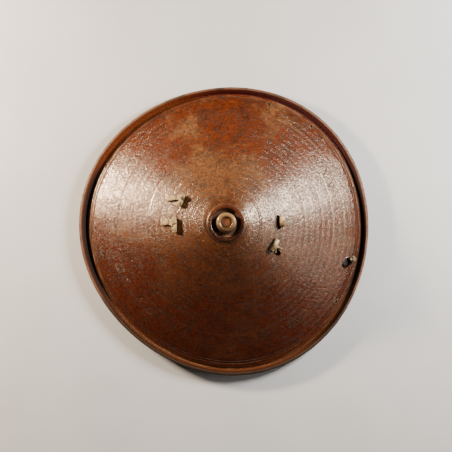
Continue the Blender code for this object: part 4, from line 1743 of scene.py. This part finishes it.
        move_points(made, shape)
        mark_points(made, Mark.EDGE, lambda p: float(p.x > length - 0.0009 - slant / 2))
        # Darker on its underside and in its crease: painted shade.
        mark_points(made, Mark.SOIL, lambda p: max(even_rise((0.0014 - (p.z - start)) / 0.0014) * 0.5,
                                                   0.9 * even_rise(1 - abs(p.x - fold) / 0.0015)))
        return made

    def neck(self) -> Piece:
        """Makes the flat strap that goes through the hide and the grip's end.

        Returns:
            The neck.
        """
        low = -(GRIP.end_thickness + FORM.thickness + GRIP.seat_gap + self.back_knot[2] / 2 + 0.0006)
        path = [Vector((0, low + (self.form.height * 0.5 - low) * k / 6)) for k in range(7)]
        made = Strap("neck", path, self.neck_width, self.strap, 4).build()
        made.data.transform(self.frame() @ turned(pi / 2))
        return made

    def behind(self) -> Piece:
        """Makes the knot behind the grip.

        Returns:
            The knot.
        """
        length, width, height = self.back_knot
        made = self.roll(f"behind_{self.form.name}", length, width, height, 1.3, 150)
        base = -(GRIP.end_thickness + FORM.thickness + GRIP.seat_gap + 0.0006)
        made.data.transform(self.frame() @ shifted(0, 0, base) @ turned(pi, "X"))
        return made

    def face_parts(self) -> list[Piece]:
        """Makes the parts of the knot that show on the face.

        Returns:
            The knot and the tail.
        """
        form = self.form
        knot = self.roll(f"roll_{form.name}", form.length, form.width, form.height, 2.2, 150, form)
        knot.data.transform(self.frame(form.turn) @ shifted(*form.shift, self.stand))
        lift = self.stand + form.height / 2 - self.strap
        end = self.tail(f"tail_{form.name}", form.tail_length, form.tail_width, lift,
                        self.stand + form.tail_lift, fold=0.0100)
        end.data.transform(self.frame(form.tail_turn))
        return [knot, end]

    def build(self) -> None:
        """Makes every part of the thong and joins them."""
        parts = self.face_parts() + [self.neck(), self.behind()]
        piece = Bench.join(parts, f"rawhide_thong_{self.form.name}")
        Bench.close(piece, None)
        Bench.smooth(piece, 38)
        Bench.finish(piece, f"thong_{self.form.name}", Slot.RAWHIDE, self.skin)


def hash_of(name: str) -> float:
    """Returns a number between 0 and 50 that is always the same for a name."""
    return sum((n + 3) * ord(letter) for n, letter in enumerate(name)) % 997 / 20


@dataclass
class StripThong(Thong):
    """The upper right thong: a strap that stands out of its torn slot and folds over to one side."""

    def face_parts(self) -> list[Piece]:
        """Makes the folded strip.

        Returns:
            The strip alone.
        """
        form = self.form
        path = line_points((-0.0016, -0.004), (-0.0020, 0.001), (-0.0018, 0.0055), (-0.0006, 0.0090),
                           (0.0014, 0.0104), (0.0034, 0.0094), (0.0050, 0.0068), (0.0058, 0.0036), (0.0060, 0.0012))
        made = Strap(f"strip_{form.name}", path, form.length, 0.0026, 16).build()
        seed = Vector((hash_of(form.name), 3.0, 8.0))

        def shape(point: Vector) -> Vector:
            """Rounds the strip's ends down and roughens it.

            Args:
                point: a point of the plain strap.

            Returns:
                Its place in the strip.
            """
            share = abs(2 * point.x / form.length)
            sink = 1 - 0.55 * share ** 3
            rough = noise.noise(point * 110 + seed) * self.rough * 1.4
            return Vector((point.x + rough, -point.y * (1 - 0.25 * share ** 4) + rough, point.z * sink + rough))

        move_points(made, shape)
        # Paler at the strip's top: painted highlight.
        mark_points(made, Mark.EDGE, lambda p: even_rise((p.z - 0.006) / 0.004) * even_rise((p.x + 0.002) / 0.008))
        # Darker on one leg and towards one end: painted shade.
        mark_points(made, Mark.SOIL, lambda p: 0.65 * max(even_rise((-p.y - 0.0040) / 0.0020),
                                                          even_rise((-p.x - 0.0020) / 0.0070)))
        made.data.transform(self.frame(form.turn) @ shifted(*form.shift, 0))
        return [made]


@dataclass
class TentThong(Thong):
    """The lower right thong: a strap folded over like a tent, with a thin strip and a thin tail."""

    def face_parts(self) -> list[Piece]:
        """Makes the fold, its thin strip and the thin tail of its ridge.

        Returns:
            The fold, the strip and the tail.
        """
        form = self.form
        path = line_points((-0.0062, 0.0006), (-0.0052, 0.0052), (-0.0034, 0.0102), (-0.0010, 0.0144),
                           (0.0012, 0.0142), (0.0034, 0.0104), (0.0054, 0.0056), (0.0064, 0.0006))
        made = Strap(f"fold_{form.name}", path, form.length, 0.0026, 12).build()
        seed = Vector((hash_of(form.name), 4.0, 2.0))

        def shape(point: Vector) -> Vector:
            """Widens the fold towards its lower left end and roughens it.

            Args:
                point: a point of the plain strap.

            Returns:
                Its place in the fold.
            """
            share = 2 * point.x / form.length
            wide = 0.78 - 0.16 * share
            sink = 1 - 0.35 * even_rise((-share - 0.2) / 0.8) - 0.12 * even_rise((share - 0.5) / 0.5)
            rough = noise.noise(point * 110 + seed) * self.rough * 1.6
            return Vector((point.x + rough, point.y * wide + rough, point.z * sink + rough))

        move_points(made, shape)
        # Paler at the top of the fold, towards its upper end: painted highlight.
        mark_points(made, Mark.EDGE, lambda p: even_rise((p.z - 0.008) / 0.004) * even_rise((p.x + 0.003) / 0.009))
        # Darker low down and on one flap: painted shade.
        mark_points(made, Mark.SOIL, lambda p: 0.85 * max(even_rise((0.0050 - p.z) / 0.0040), even_rise(
            p.y / 0.0022) * even_rise((0.0070 - p.x) / 0.0080)))
        made.data.transform(self.frame(form.turn) @ shifted(*form.shift, 0))
        strip = self.tail(f"strip_{form.name}", form.tail_length * 0.62, 0.0034, 0.0050, 0.0012, 0.1, 0.0010)
        strip.data.transform(self.frame(338) @ shifted(0.004, -0.0020, 0))
        ridge = self.tail(f"ridge_{form.name}", 0.0130, 0.0026, 0.0068, 0.0004, 0.0, 0.0006)
        ridge.data.transform(self.frame(286) @ shifted(0.004, 0, 0))
        return [made, strip, ridge]


@dataclass
class FrayedStub:
    """The stub of thong left in the torn slot beside the rim, frayed into lumps and a few strands."""
    skin: bpy.types.Material
    turn: float = 343.8
    inset: float = 0.0210
    slot_length: float = 0.0275
    slot_width: float = 0.0155
    slot_lean: float = 40.0
    neck_inset: float = 0.0050
    knot: tuple[float, float, float] = (0.0135, 0.0125, 0.0085)
    knot_shift: tuple[float, float] = (0.0055, -0.0030)
    back_length: float = 0.0170
    strands: int = 22

    def slot_place(self) -> Vector:
        """Returns where the torn slot's middle is, about the boss's axis."""
        here = FORM.bent(Vector((*polar(FORM.edge - self.inset, radians(self.turn)), 0)))
        return here.xy

    def frame(self) -> Matrix:
        """Returns the frame on the face at the slot's outer end, its X along the slot.

        Returns:
            The frame.
        """
        here = self.slot_place()
        lean = radians(self.slot_lean) - atan2(here.y, here.x)
        shift = shifted(self.slot_length / 2 - self.neck_inset, 0, 0)
        return FORM.face_frame(here.x, here.y) @ turned(lean) @ shift

    def lump(self, name: str, size: tuple[float, float, float], place: Matrix) -> Piece:
        """Makes one lump of matted fibre.

        Args:
            name: the piece's name.
            size: its length, width and height.
            place: its middle and turn.

        Returns:
            The lump.
        """
        Bench.clear()
        bpy.ops.mesh.primitive_ico_sphere_add(subdivisions=4, radius=0.5)
        made = bpy.context.object
        made.name = name
        Bench.edit(made)
        bpy.ops.transform.resize(value=size)
        bpy.ops.object.mode_set(mode="OBJECT")
        seed = Vector((hash_of(name), 6.0, 4.0))

        def shape(point: Vector) -> Vector:
            """Breaks the lump up along its fibres."""
            way = Vector((point.x * 130, point.y * 380, point.z * 380)) + seed
            return point * (1 + 0.20 * noise.noise(way) + 0.16 * noise.noise(point * 240 + seed))

        move_points(made, shape)
        made.data.transform(place)
        return made

    def strand(self, name: str, points: Sequence[Vector], width: float) -> Piece:
        """Makes one thin strand along a line, tapering to its end.

        Args:
            name: the piece's name.
            points: the strand's line.
            width: its width.

        Returns:
            The strand.
        """
        made = Strap(name, [Vector((0, 0.001 * k)) for k in range(len(points))], width, width * 0.7, 1,
                     width * 0.15).build()

        def shape(point: Vector) -> Vector:
            """Lays the strand along its line.

            Args:
                point: a point of the plain strap.

            Returns:
                Its place in the strand.
            """
            share = max(0.0, min(len(points) - 1.001, point.z / 0.001))
            n = int(share)
            here = points[n].lerp(points[n + 1], share - n)
            way = (points[n + 1] - points[n]).normalized()
            side = way.cross(Vector((0, 0, 1))).normalized()
            thin = 1 - 0.65 * share / (len(points) - 1)
            return here + side * point.x * thin + way.cross(side) * point.y * thin

        move_points(made, shape)
        return made

    def build(self) -> None:
        """Makes the lumps, strands and the neck, and joins them."""
        frame_here = self.frame()
        length, width, height = self.knot
        dice = random.Random(5)
        middle = Vector((*self.knot_shift, 0))
        lumps = (((0.0, -0.0012), 0.62, 0.62, 0.95), ((0.0022, 0.0030), 0.52, 0.55, 0.72),
                 ((-0.0036, 0.0034), 0.50, 0.42, 0.60), ((0.0036, -0.0024), 0.42, 0.44, 0.58),
                 ((-0.0040, -0.0020), 0.40, 0.36, 0.52))
        parts = [self.lump("neck_lump", (0.0034, 0.0068, 0.0150), shifted(0.0005, 0, -0.0015)),
                 self.lump("under_lump", (0.0190, self.back_length, 0.0046),
                           shifted(-0.0058, 0, -0.0084))]
        for n, (place, long, wide, high) in enumerate(lumps):
            up = Vector((*place, 0.46 * high * height))
            parts.append(self.lump(f"lump_{n}", (width * long, length * wide, height * high),
                                   Matrix.Translation(middle + up)))
        for n in range(self.strands):
            turn = dice.uniform(0, tau)
            start = middle + Vector((0.0030 * cos(turn), 0.0034 * sin(turn),
                                     height * dice.uniform(0.3, 0.85)))
            reach = dice.uniform(0.0024, 0.0052)
            points = []
            for k in range(5):
                share = k / 4
                bend = Vector((cos(turn + 0.5 * share), sin(turn + 0.5 * share), 0))
                points.append(start + bend * reach * share + Vector((0, 0, -0.0022 * share ** 2)))
            parts.append(self.strand(f"strand_{n}", points, dice.uniform(0.0006, 0.0012)))
        long_strand = line_points((0.0030, -0.0060, 0.0040), (0.0018, -0.0080, 0.0032), (0.0000, -0.0098, 0.0020),
                                  (-0.0026, -0.0112, 0.0012), (-0.0056, -0.0122, 0.0008))
        parts.append(self.strand("strand_long", long_strand, 0.0015))
        piece = Bench.join(parts, "frayed_rim_stub")
        piece.data.transform(frame_here)
        Bench.close(piece)
        mark_points(piece, Mark.EDGE, lambda p: 0.0)
        inside = frame_here.inverted()
        # Painted shade, near black, on everything more than 3 mm under the face, seen through the torn slot.
        mark_points(piece, Mark.SOIL, lambda p: 1.2 * even_rise((-0.0030 - (inside @ p).z) / 0.0015))
        Bench.smooth(piece, 40)
        Bench.finish(piece, "rim_thong", Slot.FRAYED, self.skin)


@dataclass
class HandGrip:
    """The grip across the back: flat ends on the hide and a bowed bar between them."""
    skin: bpy.types.Material
    stations: int = 56
    sides: int = 24

    @staticmethod
    def back_height(place: Vector) -> float:
        """Returns the height of the hide's back over a flat point about the axis."""
        return FORM.flank(FORM.rounded(place.x, place.y).length) - FORM.drop

    def shape(self, point: Vector) -> Vector:
        """Moves a point of a straight round bar, 2 long and 1 in radius, to its place on the grip.

        Args:
            point: X along the bar from -1 to 1, and Y and Z on its unit circle.

        Returns:
            The point's place in the frame.
        """
        end = GRIP.slot_span / 2 + GRIP.overhang
        seat = GRIP.slot_span / 2 - GRIP.seat
        along = polar(1, radians(GRIP.turn))
        across = Vector((-along.y, along.x))
        place = point.x * end
        flat = even_rise((abs(place) / seat - GRIP.flare_start) / (GRIP.flare_end - GRIP.flare_start))
        rounding = 1 - GRIP.corner * even_rise((abs(place) - seat - GRIP.seat) / GRIP.overhang)
        end_width = GRIP.slot_spacing + 2 * GRIP.side_margin
        half = (GRIP.bar_width + (end_width - GRIP.bar_width) * flat) / 2 * rounding
        thickness = GRIP.bar_thickness + (GRIP.end_thickness - GRIP.bar_thickness) * flat
        girth = max(hypot(point.y, point.z), 1e-9)
        wide, deep = point.y / girth, point.z / girth
        sideways = copysign(abs(wide) ** GRIP.wide_power, wide) * girth
        depth = (1 - copysign(abs(deep) ** GRIP.deep_power, deep) * girth) / 2
        middle = Vector(GRIP.middle)
        seat_top = self.back_height(middle + along * copysign(seat, place)) - GRIP.seat_gap
        here = middle + along * place + across * sideways * half
        top = self.back_height(here) - GRIP.seat_gap
        if abs(place) < seat:
            bow = even_rise(1 - abs(place) / seat)
            top = min(top, seat_top + (FORM.hollow_floor - GRIP.clearance - seat_top) * bow)
        return Vector((here.x, here.y, top - depth * thickness)) + AXIS

    def build(self, necks: Sequence[Opening]) -> None:
        """Draws a round bar by extrusion, shapes it and pierces it for the thongs.

        Args:
            necks: the thongs' slots.
        """
        Bench.clear()
        bpy.ops.mesh.primitive_circle_add(vertices=self.sides, radius=1.0, fill_type="NOTHING",
                                          location=(-1, 0, 0), rotation=(0, pi / 2, 0))
        made = bpy.context.object
        bpy.ops.object.transform_apply()
        Bench.edit(made)
        for _ in range(self.stations):
            bpy.ops.mesh.extrude_region_move(TRANSFORM_OT_translate={"value": (2 / self.stations, 0, 0)})
        bpy.ops.mesh.select_all(action="DESELECT")
        bpy.ops.mesh.select_non_manifold()
        bpy.ops.mesh.fill_holes(sides=self.sides)
        bpy.ops.object.mode_set(mode="OBJECT")
        Bench.close(made)
        Bench.modify(made, "BEVEL", width=0.03, segments=2, limit_method="ANGLE", angle_limit=radians(60))
        mark_points(made, Mark.EDGE, lambda p: even_rise((abs(p.y) - 0.82) / 0.15) * even_rise((abs(p.x) - 0.5) / 0.2))
        move_points(made, self.shape)
        Bench.close(made)
        posts = [neck.post(f"neck_{n}") for n, neck in enumerate(necks)]
        cutter = Bench.join(posts, "necks")
        cutter.data.transform(Matrix.Translation(AXIS))
        Bench.cut(made, cutter)
        made.name = made.data.name = "bowed_hand_grip"
        Bench.smooth(made, 35)
        Bench.finish(made, "hand_grip", Slot.GRIP, self.skin)


@dataclass
class Studio:
    """A plain pale floor, two soft boxes, low fill and the camera over the lying shield."""
    elevation: float = 85.1
    distance: float = 2.3
    view_width: float = 0.936
    aim: tuple[float, float, float] = (-0.0006, 0.0029, 0.024)

    def floor(self) -> None:
        """Lays the floor."""
        Bench.clear()
        bpy.ops.mesh.primitive_plane_add(size=14.0, location=(0, 0, 0))
        floor = bpy.context.object
        floor.name = "studio_floor"
        floor.data.materials.append(PaleFloor().make())

    def soft_box(self, name: str, azimuth: float, elevation: float, away: float, size: tuple[float, float],
                 power: float, colour: Colour) -> None:
        """Hangs one soft box.

        Args:
            name: the light's name.
            azimuth: its direction in degrees from +X.
            elevation: its height in degrees.
            away: how far it hangs from the shield.
            size: its width and height.
            power: its power in watts.
            colour: its colour.
        """
        data = bpy.data.lights.new(name, "AREA")
        data.shape = "RECTANGLE"
        data.size, data.size_y = size
        data.energy = power
        data.color = colour
        light = put(name, data)
        turn, rise = radians(azimuth), radians(elevation)
        way = Vector((cos(rise) * cos(turn), cos(rise) * sin(turn), sin(rise)))
        light.location = way * away + Vector((0, 0, 0.06))
        light.rotation_euler = (-way).to_track_quat("-Z", "Y").to_euler()

    def world(self, strength: float) -> None:
        """Sets the low, even light of the room.

        Args:
            strength: how bright it is.
        """
        world = bpy.data.worlds.new("room")
        world.use_nodes = True
        background = world.node_tree.nodes["Background"]
        background.inputs["Color"].default_value = (1.0, 0.98, 0.96, 1.0)
        background.inputs["Strength"].default_value = strength
        bpy.context.scene.world = world

    def camera(self) -> None:
        """Stands the camera where the photograph was taken from."""
        data = bpy.data.cameras.new("camera")
        data.sensor_width = 36.0
        data.lens = data.sensor_width * self.distance / self.view_width
        camera = put("camera", data)
        rise = radians(self.elevation)
        aim = AXIS + Vector(self.aim)
        camera.location = aim + self.distance * Vector((0, -cos(rise), sin(rise)))
        camera.rotation_euler = (pi / 2 - rise, 0, 0)
        bpy.context.scene.camera = camera

    def build(self) -> None:
        """Sets the whole studio up."""
        self.floor()
        self.soft_box("left_box", 156, 20.8, 1.40, (0.30, 0.12), 62.0, (1.0, 0.82, 0.63))
        self.soft_box("right_box", 25, 35, 1.35, (0.40, 0.50), 43.0, (1.0, 0.96, 0.92))
        self.soft_box("side_box", -14, 31, 1.45, (0.60, 0.50), 4.0, (1.0, 0.97, 0.93))
        self.world(0.03)
        self.camera()


KNOTS = (
    KnotForm("upper_left", -1, 1, 0.0270, 0.0145, 0.0120, 71, (-0.0050, -0.0035), 0.0300, 0.0125, 174, 0.0020, (
        Press((7.0, -1.5), (7.0, -2.5), 6.5, 0.42), Press((-8.5, 0.5), (-8.0, 0.0), 4.0, 0.12),
        Press((0.5, -8.0), (1.2, -2.5), 1.7, -0.34), Press((3.0, 8.0), (-2.0, 4.5), 1.8, -0.32),
        Press((-6.0, 5.6), (-13.5, 3.6), 1.1, -0.30), Press((-5.5, -2.6), (-12.5, -4.4), 1.2, -0.30),
        Press((11.0, 5.0), (5.5, 5.2), 1.1, -0.28), Press((3.5, -4.5), (3.2, -4.8), 1.2, -0.20))),
    KnotForm("lower_left", -1, -1, 0.0305, 0.0155, 0.0125, 93, (-0.0045, -0.0030), 0.0285, 0.0155, 172, 0.0020, (
        Press((8.0, -1.0), (6.0, -1.0), 6.0, 0.10), Press((-9.0, -1.0), (-6.0, -3.0), 5.0, 0.14),
        Press((13.0, 5.4), (2.0, 5.6), 1.2, -0.34), Press((-6.0, 4.8), (0.4, -2.6), 1.2, -0.34),
        Press((-3.0, 7.0), (1.4, 1.6), 1.1, -0.30), Press((0.6, -8.0), (0.4, -2.6), 1.3, -0.24),
        Press((7.2, 0.8), (6.6, 0.4), 1.3, -0.20), Press((-13.0, 2.5), (-10.0, 3.5), 1.4, -0.20))),
    KnotForm("upper_right", 1, 1, 0.0225, 0.0090, 0.0130, 92, (-0.0020, 0.0), 0.0090, 0.0070, 28, 0.0060),
    KnotForm("lower_right", 1, -1, 0.0250, 0.0160, 0.0170, 62, (-0.0015, 0.0), 0.0240, 0.0060, 333, 0.0050),
)


RIM_HOLE_TURNS = (50.1, 71.0, 326.0)
RIM_HOLE_INSET = 0.0092     # from the cone's edge to a hole's middle


def main() -> None:
    """Builds and dresses every piece of the shield, and sets up the studio."""
    logging.basicConfig(level=logging.INFO, format="%(name)s: %(message)s")
    rawhide = Rawhide("rawhide_finish").make()
    # Its near-black third colour also paints the shade deep in the torn slot.
    stub = FrayedStub(Rawhide("frayed_rawhide_finish", (0.26, 0.20, 0.11), (0.15, 0.105, 0.055),
                              (0.008, 0.006, 0.004), (0.42, 0.34, 0.21), 0.85, 1.0).make())
    places = [GRIP.slot_point(form.side, form.row) for form in KNOTS]
    necks = [Opening(*here, length=0.0140, width=0.0056, worn=0.0025, lift=0.0003, sides=16) for here in places]
    upper = Thong(KNOTS[2], rawhide).beside(-0.0060, -0.0045)
    lower = Thong(KNOTS[3], rawhide).beside(0.0098, -0.0165)
    tears = [Opening(*upper, length=0.0270, width=0.0170, turn=88.0, worn=0.0014, lift=0.0009, sides=26,
                     undercut=0.0020),
             Opening(*lower, length=0.0140, width=0.0095, turn=325.0, worn=0.0014, lift=0.0006, undercut=0.0010)]
    rim_holes = []
    for turn in RIM_HOLE_TURNS:
        here = FORM.bent(Vector((*polar(FORM.edge - RIM_HOLE_INSET, radians(turn)), 0)))
        rim_holes.append(Opening(*here.xy, length=0.0072, width=0.0042, worn=0.0030))
    torn = Opening(*stub.slot_place(), length=stub.slot_length, width=stub.slot_width, turn=stub.slot_lean,
                   worn=0.0016, sides=28, undercut=0.0015)
    hide_necks = [neck for form, neck in zip(KNOTS, necks) if form.name != "upper_right"]
    Hide(TooledHide().make(), [*hide_necks, *tears, *rim_holes, torn]).build()
    for form, kind in zip(KNOTS, (Thong, Thong, StripThong, TentThong)):
        kind(form, rawhide).build()
    stub.build()
    HandGrip(GripHide().make()).build(necks)
    Studio().build()


if __name__ == "__main__":
    main()
